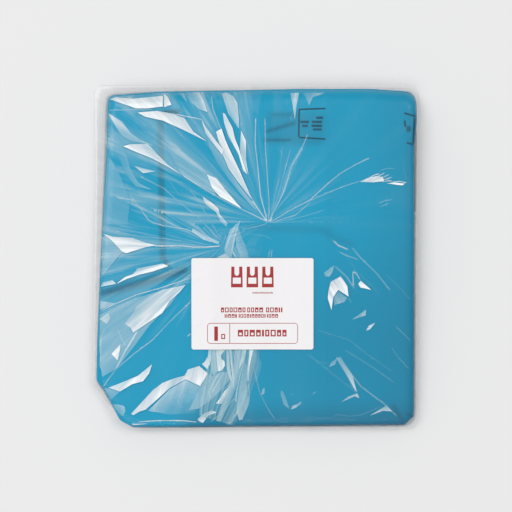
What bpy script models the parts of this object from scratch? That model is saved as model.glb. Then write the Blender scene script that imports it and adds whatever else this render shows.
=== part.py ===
"""A sealed one-kilogram pack of blue carrier bags, lying face up.

Three pieces: the folded stack of bags, the clear outer bag with its gathered mouth, and the paper label.
Metres, +Z up. X runs across the bags, +Y points to the fold. The origin is under the middle of the pack.
"""

import math

import bmesh
import bpy
from mathutils import Vector
from mathutils.geometry import delaunay_2d_cdt

MM = 0.001

# The stack of bags. Each bag is 260 wide and 430 long, folded once where its handles begin.
STACK_RIGHT = 130 * MM
STACK_TOP = 136.5 * MM
STACK_BOTTOM = -138.5 * MM
STACK_LEFT_AT_TOP = -122.5 * MM
STACK_LEFT_AT_CUT = -130 * MM
CUT_START_Y = -101 * MM  # the bent-over corner runs from here on the left edge
CUT_END_X = -100.5 * MM  # to here on the bottom edge
STACK_BASE = 0.7 * MM
FACE_HIGH = 28.2 * MM
FACE_SLOPE = 0.07  # how fast the face falls towards the bags' bottoms
SLOPE_START_Y = -8 * MM
VALLEY_DEPTH = 2 * MM  # the middle holds no gusset layers, so it sits lower
VALLEY_HALF_WIDTH = 46 * MM
VALLEY_BEVEL = 16 * MM
EDGE_RADIUS = 4.5 * MM
FOLD_RADIUS = 12.5 * MM
FOLD_BLEND = 26 * MM  # how far from the fold its large radius fades to the small one

# The handles, folded back under the body. The body sags between them, almost to the ground.
HANDLE_THICKNESS = 12.6 * MM
HANDLE_END_Y = -17 * MM
BETWEEN_HANDLES_HALF_WIDTH = 44 * MM
BETWEEN_HANDLES_END_Y = 112 * MM
BETWEEN_HANDLES_DEPTH = 2.4 * MM
FOLD_SLIT = 0.6 * MM
FOLD_SLIT_END_Y = 120 * MM
SAG_LENGTH = 14 * MM  # the body comes down this soon beyond the handles' ends

# The clear outer bag, its loose edge and its gathered mouth.
FILM = 0.4 * MM
FILM_GAP = 0.3 * MM
LOOSE_LEFT = -134.5 * MM
LOOSE_RIGHT = 134.5 * MM
LOOSE_TOP = 142 * MM
LOOSE_BOTTOM = -142 * MM
LOOSE_HEIGHT = 3 * MM
LOOSE_UNDER = 6.5 * MM  # how far in from the loose edge the flat underside starts
LOOSE_CORNER_RADIUS = 30 * MM
TAIL_X = -16 * MM
TAIL_HALF_WIDTH = 20 * MM
TAIL_BEVEL = 7 * MM
TAIL_START_Y = 24 * MM
TAIL_END_Y = -126 * MM
TAIL_RISE = 1.5 * MM
MOUTH_WIDTH = 24 * MM
MOUTH_HEIGHT = 0.5 * MM

# The label, stuck over the gathered mouth.
LABEL_CENTRE = (-3.7 * MM, -38 * MM)
LABEL_SIZE = (100 * MM, 75 * MM)
LABEL_CORNER = 1.6 * MM
LABEL_THICKNESS = 0.2 * MM
LABEL_GAP = 0.3 * MM

ARC_STEPS = 4
ARCH_STEPS = 16
EDGE_STEPS = (6, 10, 6, 3, 9)  # along the top, right, bottom, bent corner and left edges
LABEL_STEPS = (28, 4, 28, 4)
ROUNDING_STEPS = 4


def clamp(value, low=0.0, high=1.0):
    return min(max(value, low), high)


def smooth(value):
    value = clamp(value)
    return value * value * (3 - 2 * value)


def rounded_outline(corners, edge_steps):
    """Points clockwise round a polygon of (x, y, radius) corners, with an arc at each one."""
    count = len(corners)
    arcs = []
    for i, (x, y, radius) in enumerate(corners):
        here = Vector((x, y))
        before = (Vector(corners[i - 1][:2]) - here).normalized()
        after = (Vector(corners[(i + 1) % count][:2]) - here).normalized()
        half = before.angle(after) / 2
        centre = here + (before + after).normalized() * (radius / math.sin(half))
        start = here + before * (radius / math.tan(half)) - centre
        turn = math.pi - 2 * half
        arc = []
        for step in range(ARC_STEPS + 1):
            angle = -turn * step / ARC_STEPS
            cos, sin = math.cos(angle), math.sin(angle)
            arc.append(centre + Vector((start.x * cos - start.y * sin, start.x * sin + start.y * cos)))
        arcs.append(arc)
    points = []
    for i, arc in enumerate(arcs):
        points += arc
        after = arcs[(i + 1) % count][0]
        points += [arc[-1].lerp(after, s / edge_steps[i]) for s in range(1, edge_steps[i])]
    return points


def stack_outline(inset=0.0, fold_inset=0.0):
    """The plan of the stack, drawn in by inset, and by fold_inset at the fold."""
    top = STACK_TOP - fold_inset
    left_top = STACK_LEFT_AT_TOP + inset
    left_cut = STACK_LEFT_AT_CUT + inset
    bottom = STACK_BOTTOM + inset
    corners = [
        (left_top, top, max(6 * MM - inset, 1.5 * MM)),
        (STACK_RIGHT - inset, top, max(10 * MM - inset, 1.5 * MM)),
        (STACK_RIGHT - 2 * MM - inset, bottom, max(5 * MM - inset, 1.5 * MM)),
        (CUT_END_X + 0.4 * inset, bottom, 4 * MM),
        (left_cut, CUT_START_Y + 0.4 * inset, 4 * MM),
    ]
    return rounded_outline(corners, EDGE_STEPS)


def loose_outline(inset=0.0):
    """The plan of the outer bag's loose edge, drawn in by inset."""
    left, right = LOOSE_LEFT + inset, LOOSE_RIGHT - inset
    top, bottom = LOOSE_TOP - inset, LOOSE_BOTTOM + inset
    cut = LOOSE_CORNER_RADIUS
    corners = [
        (left + 1.5 * MM, top, 5 * MM),
        (right, top, 9 * MM),
        (right - 1.5 * MM, bottom, 8 * MM),
        (left + cut, bottom, 16 * MM),
        (left, bottom + cut, 16 * MM),
    ]
    return rounded_outline(corners, EDGE_STEPS)


def face_height(x, y):
    """The upper face of the stack: level near the fold, then falling, with a shallow valley down the middle."""
    fall = FACE_SLOPE * max(0.0, SLOPE_START_Y - y)
    valley = VALLEY_DEPTH * clamp((VALLEY_HALF_WIDTH - abs(x)) / VALLEY_BEVEL)
    return FACE_HIGH - fall - valley


def tail_height(x, y):
    """How far the flattened mouth of the outer bag stands above its face."""
    across = clamp((TAIL_HALF_WIDTH + TAIL_BEVEL - abs(x - TAIL_X)) / TAIL_BEVEL)
    start = clamp((TAIL_START_Y - y) / TAIL_BEVEL)
    end = clamp((y - TAIL_END_Y) / TAIL_BEVEL)
    return TAIL_RISE * across * start * end


def edge_radius(y):
    """The radius of the stack's upper edge: large at the fold, small elsewhere."""
    share = smooth((y - STACK_TOP + FOLD_BLEND) / FOLD_BLEND)
    return EDGE_RADIUS + (FOLD_RADIUS - EDGE_RADIUS) * share


def stack_rings(base, grow, lift):
    """Rings of the stack's surface from its base to the rim of its face, grown outwards and lifted."""
    rings = []
    for side in ("lower", "upper"):
        for step in range(ROUNDING_STEPS + 1):
            angle = math.pi / 2 * step / ROUNDING_STEPS
            if side == "lower":
                angle = math.pi / 2 - angle
            out, up = math.cos(angle), 1 - math.sin(angle)
            plan = stack_outline(EDGE_RADIUS * (1 - out) - grow, FOLD_RADIUS * (1 - out) - grow)
            ring = []
            for p in plan:
                rise = edge_radius(p.y) * up
                top = face_height(p.x, p.y) + lift
                ring.append(Vector((p.x, p.y, base + rise if side == "lower" else top - rise)))
            rings.append(ring)
    return rings


def level_ring(plan, height):
    return [Vector((p.x, p.y, height)) for p in plan]


def inner_points(ring, columns, rows, margin):
    """Grid points inside a ring, kept a margin away from it."""
    found = []
    for x in columns:
        for y in rows:
            inside = False
            clear = True
            for a, b in zip(ring, ring[1:] + ring[:1]):
                if (a.y > y) != (b.y > y) and x < a.x + (y - a.y) * (b.x - a.x) / (b.y - a.y):
                    inside = not inside
                clear = clear and math.hypot(a.x - x, a.y - y) > margin
            if inside and clear:
                found.append(Vector((x, y)))
    return found


def add_cap(bm, rim, columns, rows, height, up):
    """Closes a rim of vertices with a surface that follows height(x, y)."""
    plan = [Vector((v.co.x, v.co.y)) for v in rim]
    inner = inner_points(plan, columns, rows, 3 * MM)
    edges = [(i, (i + 1) % len(plan)) for i in range(len(plan))]
    points, _, faces, *_ = delaunay_2d_cdt(plan + inner, edges, [], 1, 1e-7)
    vertices = list(rim)
    vertices += [bm.verts.new((p.x, p.y, height(p.x, p.y))) for p in points[len(rim):]]
    for face in faces:
        order = face if up else reversed(face)
        bm.faces.new([vertices[i] for i in order])


def lofted(name, rings, height):
    """A closed mesh through rings from bottom to top. Its underside is flat and its top follows height."""
    bm = bmesh.new()
    loops = [[bm.verts.new(p) for p in ring] for ring in rings]
    for low, high in zip(loops, loops[1:]):
        for i in range(len(low)):
            j = (i + 1) % len(low)
            bm.faces.new((low[j], low[i], high[i], high[j]))
    bm.faces.new(loops[0])
    add_cap(bm, loops[-1], face_columns(), face_rows(), height, True)
    bmesh.ops.recalc_face_normals(bm, faces=bm.faces)
    return new_object(name, bm)


def new_object(name, bm):
    mesh = bpy.data.meshes.new(name)
    bm.to_mesh(mesh)
    bm.free()
    obj = bpy.data.objects.new(name, mesh)
    bpy.context.scene.collection.objects.link(obj)
    return obj


def extruded(name, profile, axis, start, end):
    """A prism. The profile's points are (y, z) for axis "X", and (x, y) for axis "Z"."""
    bm = bmesh.new()
    if axis == "X":
        rims = [[bm.verts.new((at, a, b)) for a, b in profile] for at in (start, end)]
    else:
        rims = [[bm.verts.new((a, b, at)) for a, b in profile] for at in (start, end)]
    bm.faces.new(rims[0])
    bm.faces.new(reversed(rims[1]))
    for i in range(len(profile)):
        j = (i + 1) % len(profile)
        bm.faces.new((rims[0][i], rims[1][i], rims[1][j], rims[0][j]))
    bmesh.ops.recalc_face_normals(bm, faces=bm.faces)
    return new_object(name, bm)


def cut(obj, cutter):
    """Takes the cutter out of obj, and hides the cutter."""
    modifier = obj.modifiers.new(cutter.name, "BOOLEAN")
    modifier.operation = "DIFFERENCE"
    modifier.solver = "EXACT"
    modifier.object = cutter
    cutter.hide_render = True
    cutter.display_type = "WIRE"


def material(name, colour, roughness, alpha=1.0, transmission=0.0):
    made = bpy.data.materials.new(name)
    made.use_nodes = True
    shader = made.node_tree.nodes["Principled BSDF"]
    shader.inputs["Base Color"].default_value = (*colour, 1)
    shader.inputs["Roughness"].default_value = roughness
    shader.inputs["Metallic"].default_value = 0
    shader.inputs["Alpha"].default_value = alpha
    shader.inputs["Transmission Weight"].default_value = transmission
    return made


def finish(obj, finish_material):
    obj.data.materials.append(finish_material)
    obj.data.shade_smooth()
    obj.data.set_sharp_from_angle(angle=math.radians(35))


def face_columns():
    """Lines across X where a face is bent: the valley's flanks, and the sides of the flattened mouth."""
    lines = [-110 * MM, -78 * MM, -12 * MM, 78 * MM, 110 * MM]
    for side in (-1, 1):
        lines += [side * VALLEY_HALF_WIDTH, side * (VALLEY_HALF_WIDTH - VALLEY_BEVEL)]
        lines += [TAIL_X + side * TAIL_HALF_WIDTH, TAIL_X + side * (TAIL_HALF_WIDTH + TAIL_BEVEL)]
    return sorted(lines)


def face_rows():
    """Lines along Y where a face is bent: where it starts to fall, and the ends of the flattened mouth."""
    lines = [-80 * MM, -45 * MM, SLOPE_START_Y, 65 * MM, 100 * MM]
    lines += [TAIL_START_Y, TAIL_START_Y - TAIL_BEVEL, TAIL_END_Y, TAIL_END_Y + TAIL_BEVEL]
    return sorted(lines)


def bag_stack():
    """The folded bags as one solid: the body, and the two handles folded back under it."""
    rings = stack_rings(STACK_BASE, 0.0, 0.0)
    stack = lofted("bag_stack", rings, face_height)
    slit_low = STACK_BASE + HANDLE_THICKNESS
    slit_high = slit_low + FOLD_SLIT
    below = -2 * MM
    fold_gap = [
        (FOLD_SLIT_END_Y, slit_low),
        (FOLD_SLIT_END_Y + FOLD_SLIT, (slit_low + slit_high) / 2),
        (FOLD_SLIT_END_Y, slit_high),
        (HANDLE_END_Y - 0.15 * SAG_LENGTH, slit_high),
        (HANDLE_END_Y - 0.8 * SAG_LENGTH, STACK_BASE + 0.2 * HANDLE_THICKNESS),
        (HANDLE_END_Y - SAG_LENGTH, STACK_BASE),
        (HANDLE_END_Y - SAG_LENGTH, below),
        (HANDLE_END_Y, below),
        (HANDLE_END_Y, slit_low - 2 * MM),
        (HANDLE_END_Y + 2 * MM, slit_low),
    ]
    reach = STACK_RIGHT + 10 * MM
    cut(stack, extruded("fold_gap", fold_gap, "X", -reach, reach))
    half = BETWEEN_HANDLES_HALF_WIDTH
    arch_y = BETWEEN_HANDLES_END_Y - half
    between = [(half, HANDLE_END_Y - 6 * MM)]
    for step in range(ARCH_STEPS + 1):
        angle = math.pi * step / ARCH_STEPS
        between.append((half * math.cos(angle), arch_y + half * math.sin(angle)))
    between.append((-half, HANDLE_END_Y - 6 * MM))
    cut(stack, extruded("between_handles", between, "Z", below, STACK_BASE + BETWEEN_HANDLES_DEPTH))
    finish(stack, material("blue_film", (0.02, 0.33, 0.52), 0.45))


def clear_wrap():
    """The outer bag: a thin wall round the stack, a loose edge, and a flattened mouth that opens at its end."""
    def skin(name, base, lift, grow, loose_inset):
        """One side of the film: the base, the loose edge, then up over the stack's rim."""
        upper = stack_rings(base, grow, lift)[ROUNDING_STEPS + 1:]
        rings = [
            level_ring(loose_outline(loose_inset + LOOSE_UNDER), base),
            level_ring(loose_outline(loose_inset), base + LOOSE_HEIGHT - 0.8 * MM),
            level_ring(loose_outline(loose_inset), base + LOOSE_HEIGHT),
            *upper,
        ]

        def height(x, y):
            return face_height(x, y) + lift + tail_height(x, y)

        return lofted(name, rings, height)

    wrap = skin("clear_wrap", 0.0, FILM_GAP + FILM, FILM_GAP + FILM, 0.0)
    cut(wrap, skin("wrap_inside", FILM, FILM_GAP, FILM_GAP, FILM))
    mouth_z = face_height(TAIL_X, TAIL_END_Y) + FILM_GAP + FILM + 0.2 * MM
    half = MOUTH_WIDTH / 2
    slot = [
        (TAIL_X - half, TAIL_END_Y - 14 * MM),
        (TAIL_X + half, TAIL_END_Y - 14 * MM),
        (TAIL_X + half, TAIL_END_Y + TAIL_BEVEL + 2 * MM),
        (TAIL_X - half, TAIL_END_Y + TAIL_BEVEL + 2 * MM),
    ]
    cut(wrap, extruded("mouth_slot", slot, "Z", mouth_z, mouth_z + MOUTH_HEIGHT))
    finish(wrap, material("clear_film", (0.95, 0.96, 0.97), 0.12, alpha=0.35))


def label():
    """The paper label, bent over the flattened mouth that it holds down."""
    width, height = LABEL_SIZE
    x, y = LABEL_CENTRE
    corners = [
        (x - width / 2, y + height / 2, LABEL_CORNER),
        (x + width / 2, y + height / 2, LABEL_CORNER),
        (x + width / 2, y - height / 2, LABEL_CORNER),
        (x - width / 2, y - height / 2, LABEL_CORNER),
    ]
    plan = rounded_outline(corners, LABEL_STEPS)
    lift = FILM_GAP + FILM + LABEL_GAP

    def under(px, py):
        return face_height(px, py) + lift + tail_height(px, py)

    bm = bmesh.new()
    for up in (False, True):
        rise = LABEL_THICKNESS if up else 0.0
        rim = [bm.verts.new((p.x, p.y, under(p.x, p.y) + rise)) for p in plan]
        add_cap(bm, rim, face_columns(), face_rows(), lambda px, py: under(px, py) + rise, up)
    bmesh.ops.bridge_loops(bm, edges=[e for e in bm.edges if e.is_boundary])
    bmesh.ops.recalc_face_normals(bm, faces=bm.faces)
    finish(new_object("label", bm), material("white_paper", (0.88, 0.87, 0.88), 0.5))


def main():
    for obj in list(bpy.data.objects):
        bpy.data.objects.remove(obj)
    bag_stack()
    clear_wrap()
    label()


main()
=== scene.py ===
"""Looks for a sealed pack of blue carrier bags: the bags, the creased clear film and the paper label."""

import math
import random

import bpy
import numpy as np
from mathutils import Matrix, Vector, noise
from mathutils.geometry import delaunay_2d_cdt


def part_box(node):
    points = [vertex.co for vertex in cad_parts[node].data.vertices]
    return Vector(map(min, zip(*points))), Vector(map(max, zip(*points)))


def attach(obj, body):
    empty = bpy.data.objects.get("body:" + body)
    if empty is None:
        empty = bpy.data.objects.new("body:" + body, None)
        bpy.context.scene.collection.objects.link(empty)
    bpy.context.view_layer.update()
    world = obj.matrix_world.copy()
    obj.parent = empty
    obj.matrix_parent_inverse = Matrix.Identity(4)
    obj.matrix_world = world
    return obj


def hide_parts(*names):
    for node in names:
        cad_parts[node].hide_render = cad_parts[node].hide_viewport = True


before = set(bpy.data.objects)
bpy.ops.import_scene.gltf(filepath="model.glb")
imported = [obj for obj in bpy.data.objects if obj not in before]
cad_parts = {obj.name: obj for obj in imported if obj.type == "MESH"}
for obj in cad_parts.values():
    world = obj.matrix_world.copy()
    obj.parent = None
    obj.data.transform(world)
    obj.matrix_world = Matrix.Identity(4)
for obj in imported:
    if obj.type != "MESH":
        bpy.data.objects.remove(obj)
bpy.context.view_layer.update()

bl_info = {
    "name": "Carrier bag pack",
    "version": (1, 0, 0),
    "blender": (4, 5, 0),
    "location": "3D View > Sidebar > Bag pack",
    "description": "Builds a sealed pack of carrier bags: folded bags, creased clear film and a paper label",
    "category": "Add Mesh",
}

MM = 0.001

# Plans and drawings below are in millimetres, in the frame's X and Y.
# The corners of the bags' outline and of the film's loose edge: x, y, radius.
BAG_PLAN = [
    (-121.9, 132.8, 5), (-80, 136, 20), (-20, 137.2, 30), (30, 138.4, 40), (95, 138.4, 20),
    (131, 135.6, 10), (131.2, 112, 12), (129.2, 92, 12), (129.3, -131, 3), (121.8, -138, 4),
    (-60, -139.8, 40), (-102, -139.9, 5), (-112.8, -134, 6), (-124.8, -110.5, 8), (-131.8, -101.5, 5),
    (-131, -70, 60), (-127, 15, 90), (-123.4, 85, 90),
]
FILM_PLAN = [
    (-134.3, 142, 6), (133.4, 142, 9), (133.4, -142, 8), (-102, -142.3, 28),
    (-135.2, -112, 28), (-135.2, -60, 40), (-133.6, 60, 60),
]
# Under the bags: the recess between the folded handles, and the fold that ends them, as x, y, radius.
HANDLE_RECESS = [(-43, 112, 6), (43, 112, 6), (43, -17, 2), (-43, -17, 2)]
HANDLE_ENDS = [(-127, -16.6, 1), (124, -16.6, 1), (124, -18.6, 1), (-127, -18.6, 1)]
# The film's gathered mouth, flattened on the pack: x, y and half width, from under the label to its end.
MOUTH = [
    (-21.5, -3, 12.5), (-21, -30, 15), (-18.6, -60, 18), (-18.4, -76, 21.4),
    (-21, -95, 21.4), (-26, -112, 19.8), (-31, -126, 17.2), (-33.5, -134, 14.5),
]
# The points that the film's streaks fan out from: over the upper half, the left, and the lower right.
TOP_GATHER = np.array([8.2, 29.1])
LEFT_GATHER = np.array([-28.7, 7.8])
RIGHT_GATHER = np.array([20.0, 40.0])

# Flat facets of creased film: the way each one faces in degrees, how far its far edge is raised,
# its haze at the low and the raised edge, and its corners. The haze is partly the real whitening of
# creased, doubled film and partly painted highlight, where the tilted film would mirror the lights.
FACETS = [
    # The top left corner.
    (100, 1.6, 0.62, 0.66, [(-121, 130), (-115.5, 131.5), (-102, 130), (-77, 132.5), (-77, 123.5),
                            (-89.5, 122), (-99, 122), (-106, 124.5), (-116, 128)]),
    (100, 1.2, 0.58, 0.6, [(-76.3, 134.2), (-73, 131.5), (-70, 125), (-76, 123)]),
    (60, 1.8, 0.6, 0.66, [(-97.5, 118.5), (-82, 120), (-70.5, 118), (-59.5, 114), (-52, 103), (-41, 95),
                          (-60.5, 104.5), (-77, 112), (-91, 115)]),
    (60, 0.9, 0.12, 0.22, [(-58.5, 113.6), (-45.5, 112.5), (-43.8, 108), (-41.5, 96.5), (-51.5, 104)]),
    (60, 1.1, 0.58, 0.34, [(-122, 118.5), (-110.5, 111), (-103.5, 102), (-96, 96.5), (-83.5, 91), (-90, 93),
                           (-104, 95.5), (-110, 99), (-115, 106)]),
    (200, 0.9, 0.2, 0.4, [(-121.5, 110.5), (-115, 102), (-107.5, 86.5), (-103.5, 72), (-97, 61),
                           (-86, 55.5), (-99, 58), (-106.5, 67), (-114, 84), (-119, 96.5)]),
    (180, 0.7, 0.3, 0.18, [(-124.5, 88), (-114, 72), (-104, 47), (-106, 27), (-125.5, 27)]),
    # The long pleat from the left edge to the gather.
    (55, 2.0, 0.6, 0.68, [(-109.5, 91), (-104, 92.5), (-89.5, 93), (-82, 85), (-73, 76), (-61.5, 67.5),
                          (-72.5, 74), (-85.5, 81), (-100.5, 87)]),
    (55, 1.7, 0.3, 0.34, [(-74.5, 91.5), (-59.5, 85.5), (-52, 80), (-41, 68), (-36.5, 56.5), (-33.5, 52),
                          (-50.5, 60.5), (-61.5, 67.5)]),
    (55, 1.8, 0.62, 0.64, [(-41, 68), (-33.5, 65), (-25.5, 55), (-12.5, 40), (-30, 49.5), (-36.5, 56.5)]),
    # The fan above the gather.
    (210, 1.6, 0.58, 0.62, [(-45, 113), (-42.5, 107), (-33.5, 95.5), (-27.5, 88), (-28.5, 84),
                            (-35, 92.5), (-42, 101.5), (-44.5, 109.5)]),
    (210, 1.8, 0.6, 0.66, [(-33.5, 103), (-29, 105.5), (-26, 96.5), (-21.5, 86.5), (-13.5, 69.5),
                           (-4, 47.5), (-5.5, 49), (-15.5, 62), (-23, 72.5), (-28, 84), (-27.5, 88),
                           (-31, 94)]),
    (210, 0.6, 0.28, 0.34, [(-41, 95), (-36, 91.5), (-28.8, 83.6), (-23.8, 72.2), (-16.3, 61.6), (-6.5, 48.6),
                           (1, 37), (-5.5, 43), (-15, 54), (-25, 67), (-33.5, 79)]),
    (200, 1.5, 0.58, 0.62, [(-28, 118.5), (-26, 117.5), (-20, 106), (-18, 97.5), (-15, 90), (-12.5, 81),
                            (-8, 68), (-11.5, 71.5), (-15, 84.5), (-23.5, 99.5), (-27, 110.5)]),
    (200, 1.3, 0.48, 0.54, [(-13, 104), (-9, 95.5), (-9, 81), (-7, 68), (-12.5, 79), (-14, 90)]),
    (190, 0.8, 0.3, 0.4, [(-64, 134.5), (-60, 134.5), (-57, 127)]),
    (190, 1.1, 0.3, 0.5, [(-57, 135), (-47.5, 135.5), (-44, 129), (-40.5, 119), (-47.5, 121.5), (-54, 127)]),
    (190, 1.1, 0.5, 0.44, [(-29, 134.5), (-24.4, 135.3), (-19.3, 132), (-16.2, 126.9), (-14.8, 113.6),
                           (-14.8, 105.4), (-18.2, 110.5), (-23.4, 117.7), (-26.4, 126.9)]),
    (180, 0.5, 0.16, 0.1, [(-14, 135), (4, 135), (0.5, 116), (-4, 122)]),
    (180, 0.9, 0.44, 0.54, [(27.5, 135), (34.5, 135), (32.5, 125), (31, 113), (29.5, 122.5)]),
    (150, 0.7, 0.24, 0.36, [(37, 135), (55.5, 135), (50, 132.5), (46, 131.5), (42.5, 124.5), (40, 131)]),
    (150, 0.6, 0.2, 0.12, [(9.5, 31), (19, 56), (26, 74), (35.5, 90), (38, 89), (31, 76), (23, 53.5),
                           (11.5, 31.5)]),
    # Small patches left of the gather.
    (80, 0.9, 0.5, 0.56, [(-100.5, 75), (-91, 72.5), (-83, 70.5), (-93, 69), (-96.5, 71.5)]),
    (225, 1.1, 0.46, 0.54, [(-44.5, 50), (-36.5, 44.5), (-31.5, 40), (-30.5, 35.5), (-24, 28),
                            (-25.5, 25.5), (-30, 30), (-33.5, 37), (-41.5, 43), (-43.5, 46.5)]),
    (60, 0.9, 0.42, 0.5, [(-52.5, 24), (-42.5, 18.5), (-31, 13), (-31.5, 11), (-43.5, 14.5), (-53.5, 21)]),
    (80, 1.6, 0.62, 0.66, [(-126, 19.5), (-118, 17), (-102, 16), (-91, 12), (-82, 10), (-91, 8.5),
                           (-107, 3.5), (-110.5, 5), (-119, 14)]),
    (160, 1.1, 0.38, 0.34, [(-127, 17.5), (-119, 13.5), (-110.5, 4.5), (-119, -6), (-126.5, -15),
                            (-127, 6)]),
    # The ridge with a shadow under it, and the hazy field below.
    (110, 1.2, 0.5, 0.56, [(-128, -24), (-126.5, -20.5), (-118.5, -18.5), (-115, -21.5), (-120.5, -22.5)]),
    (110, 2.4, 0.56, 0.66, [(-115, -21.5), (-108, -16), (-101.5, -13.5), (-97.5, -9), (-85.5, -6.5),
                            (-77.5, -5), (-72.5, -7), (-85.5, -11.5), (-96.5, -14), (-106.5, -17.5)]),
    (110, 0.7, 0.12, 0.2, [(-73.5, -5), (-54.5, -3), (-56, -8), (-69.5, -8.5)]),
    (90, 0.9, 0.46, 0.42, [(-128.5, -35.5), (-116, -37.5), (-128.5, -42.5)]),
    (130, 1.9, 0.48, 0.62, [(-58.5, -22.5), (-77.5, -26.5), (-87.5, -31.5), (-98.5, -39.5),
                            (-101.5, -45.5), (-108.5, -54.5), (-103.5, -57.5), (-101.5, -61.5),
                            (-89.5, -53.5), (-77.5, -45.5), (-71.5, -35.5), (-63.5, -28.5)]),
    (130, 1.2, 0.39, 0.32, [(-128.5, -47), (-112.5, -39), (-98.5, -33), (-59, -22), (-71.5, -39),
                            (-88, -55.5), (-100, -72), (-115.5, -91.5), (-127, -98), (-129.5, -72)]),
    (90, 0.8, 0.5, 0.5, [(-129, -50.5), (-122, -45.5), (-120, -49.5), (-123, -54.5)]),
    (120, 1.0, 0.66, 0.66, [(-119.5, -79), (-112, -71), (-112.5, -76.5), (-114.5, -84.5), (-117, -81.5)]),
    # The bent corner.
    (120, 1.9, 0.56, 0.62, [(-122, -107), (-108, -101.5), (-97.5, -97), (-86, -87.5), (-88.5, -95),
                            (-93.5, -101.5), (-102.5, -104), (-112.5, -110)]),
    (135, 0.8, 0.36, 0.3, [(-125.5, -107), (-112.5, -110), (-120, -117)]),
    (120, 2.1, 0.58, 0.64, [(-103.5, -128.5), (-97.5, -122), (-85.5, -109), (-77.5, -103), (-67.5, -99),
                            (-59.5, -97), (-56.5, -92), (-47.5, -89), (-40.5, -95), (-46.5, -105.5),
                            (-58.5, -100), (-71.5, -107), (-81.5, -116), (-91.5, -125), (-96.5, -126.5),
                            (-101.5, -129.5)]),
    (300, 1.7, 0.1, 0.42, [(-58.5, -100.5), (-46.5, -106), (-37, -108), (-51.5, -128), (-71.5, -129),
                           (-89.5, -126), (-71.5, -108)]),
    (200, 0.8, 0.32, 0.38, [(-119, -121), (-115, -120.5), (-109, -122), (-108, -126), (-110, -131),
                            (-114.5, -127)]),
    (120, 0.8, 0.6, 0.6, [(-103.5, -136.6), (-89.5, -136.6), (-101.5, -138)]),
    # Patches on the smooth right half.
    (120, 0.8, 0.6, 0.66, [(84, 62), (90.5, 65), (97, 66.5), (103, 66), (104, 62.5), (95, 61.5)]),
    (120, 0.7, 0.62, 0.66, [(106, 60.8), (114, 61.3), (121, 60.4), (119, 59), (113.5, 59.6)]),
    (130, 0.6, 0.34, 0.36, [(55, -12.5), (63.5, -6), (61.5, -12.5), (59.5, -15.5), (56, -15.5)]),
    (120, 1.5, 0.64, 0.7, [(68.5, -15.5), (71.5, -19.5), (74, -23.5), (75, -32), (66.5, -26.5),
                           (62.5, -32.5), (61, -43), (58, -33.5), (58.5, -27.5), (60.5, -20)]),
    (100, 0.8, 0.26, 0.34, [(66.5, -27.5), (74, -33), (71.5, -36.5), (63.5, -39), (62.8, -33)]),
    (100, 0.9, 0.66, 0.66, [(85, -19), (93.5, -26.5), (84.5, -24.5), (83, -21.5)]),
    (130, 0.7, 0.4, 0.44, [(78, -51), (89.5, -42.5), (89, -47.5)]),
    (130, 0.7, 0.56, 0.6, [(89.5, -60), (91.5, -56), (97, -53.5), (92.5, -59)]),
    (50, 0.8, 0.36, 0.46, [(65, -82.5), (68.5, -81.5), (78.5, -97), (82, -110.5), (79.5, -107), (73.5, -96)]),
    (120, 0.6, 0.3, 0.3, [(59, -90), (61.5, -85.5), (66, -82.5), (64, -88)]),
    (120, 0.6, 0.4, 0.46, [(69, -119), (75.5, -114), (82.5, -111.5), (84, -115.5), (80.5, -114),
                           (73.5, -117)]),
    (110, 0.9, 0.4, 0.48, [(92.5, -130), (106.5, -121.5), (111, -126.5), (103.5, -126)]),
    (100, 0.6, 0.26, 0.32, [(19.5, -109.5), (21.5, -110), (25, -119), (26.5, -124.5), (22, -121),
                            (19.5, -113)]),
    (100, 0.6, 0.38, 0.42, [(28, -125), (29, -122), (36, -119), (37, -119.5), (32, -123.5)]),
    (100, 0.5, 0.4, 0.4, [(3.5, -113), (4.5, -108), (6.5, -107), (6, -112)]),
    # The tongue of the mouth, above the label.
    (160, 1.0, 0.42, 0.34, [(-13.3, 30.7), (-17.4, 27.2), (-22.1, 22.5), (-25, 14.3), (-26.8, 7.3),
                           (-26.2, 3.8), (-21, -1), (-19, 8), (-17.5, 17), (-15.5, 24)]),
    (20, 1.0, 0.3, 0.36, [(-15, 25), (-14.5, 22), (-11, 13.2), (-8.1, 5.5), (-6.3, -1), (-13, -1),
                           (-17, 9), (-17.3, 17)]),
    (200, 0.8, 0.22, 0.28, [(-17.6, 9), (-13.4, -1), (-20.4, -1), (-18.8, 7.5)]),
    (90, 0.8, 0.5, 0.5, [(-26.2, 3.4), (-33.9, -0.8), (-21.4, -0.8)]),
    # The pleats of the mouth, below the label.
    (150, 1.2, 0.62, 0.6, [(-39.6, -75), (-37.9, -75), (-37.7, -82.3), (-38.6, -87.5), (-40.9, -91.6),
                           (-45, -87.5), (-42.3, -84.7), (-40.3, -81.3)]),
    (190, 0.9, 0.42, 0.44, [(-37.7, -75), (-34.1, -75), (-33.4, -84.7), (-32.7, -93), (-35.5, -97.7),
                            (-37.2, -95), (-38.2, -87.5)]),
    (160, 1.3, 0.6, 0.64, [(-33.8, -75), (-25.6, -75), (-29.7, -80.6), (-29, -83.4), (-26.6, -85.4),
                           (-26.3, -88.8), (-29, -92.9), (-32.1, -93.6), (-33.1, -84.7)]),
    (140, 1.1, 0.4, 0.32, [(-40.9, -95), (-36, -98), (-31, -94.5), (-25, -94), (-22, -100), (-29, -108),
                            (-38.5, -117), (-47.4, -124), (-56, -125.5), (-46.7, -106.5)]),
    (170, 0.8, 0.54, 0.58, [(-25.2, -75), (-23.6, -75), (-21.9, -91.6), (-20.4, -101.8), (-19.6, -107.9),
                            (-20.8, -103.2), (-23.5, -97), (-24.9, -90.2)]),
    (10, 0.8, 0.58, 0.56, [(-22.8, -75), (-20.8, -75), (-19.8, -88.1), (-18.7, -100.4), (-19, -108.6),
                          (-20, -100), (-21.6, -88)]),
    (10, 1.0, 0.6, 0.6, [(-11.9, -75), (-8.5, -75), (-10.2, -83.4), (-12.6, -88.1), (-15.3, -92.2),
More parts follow.
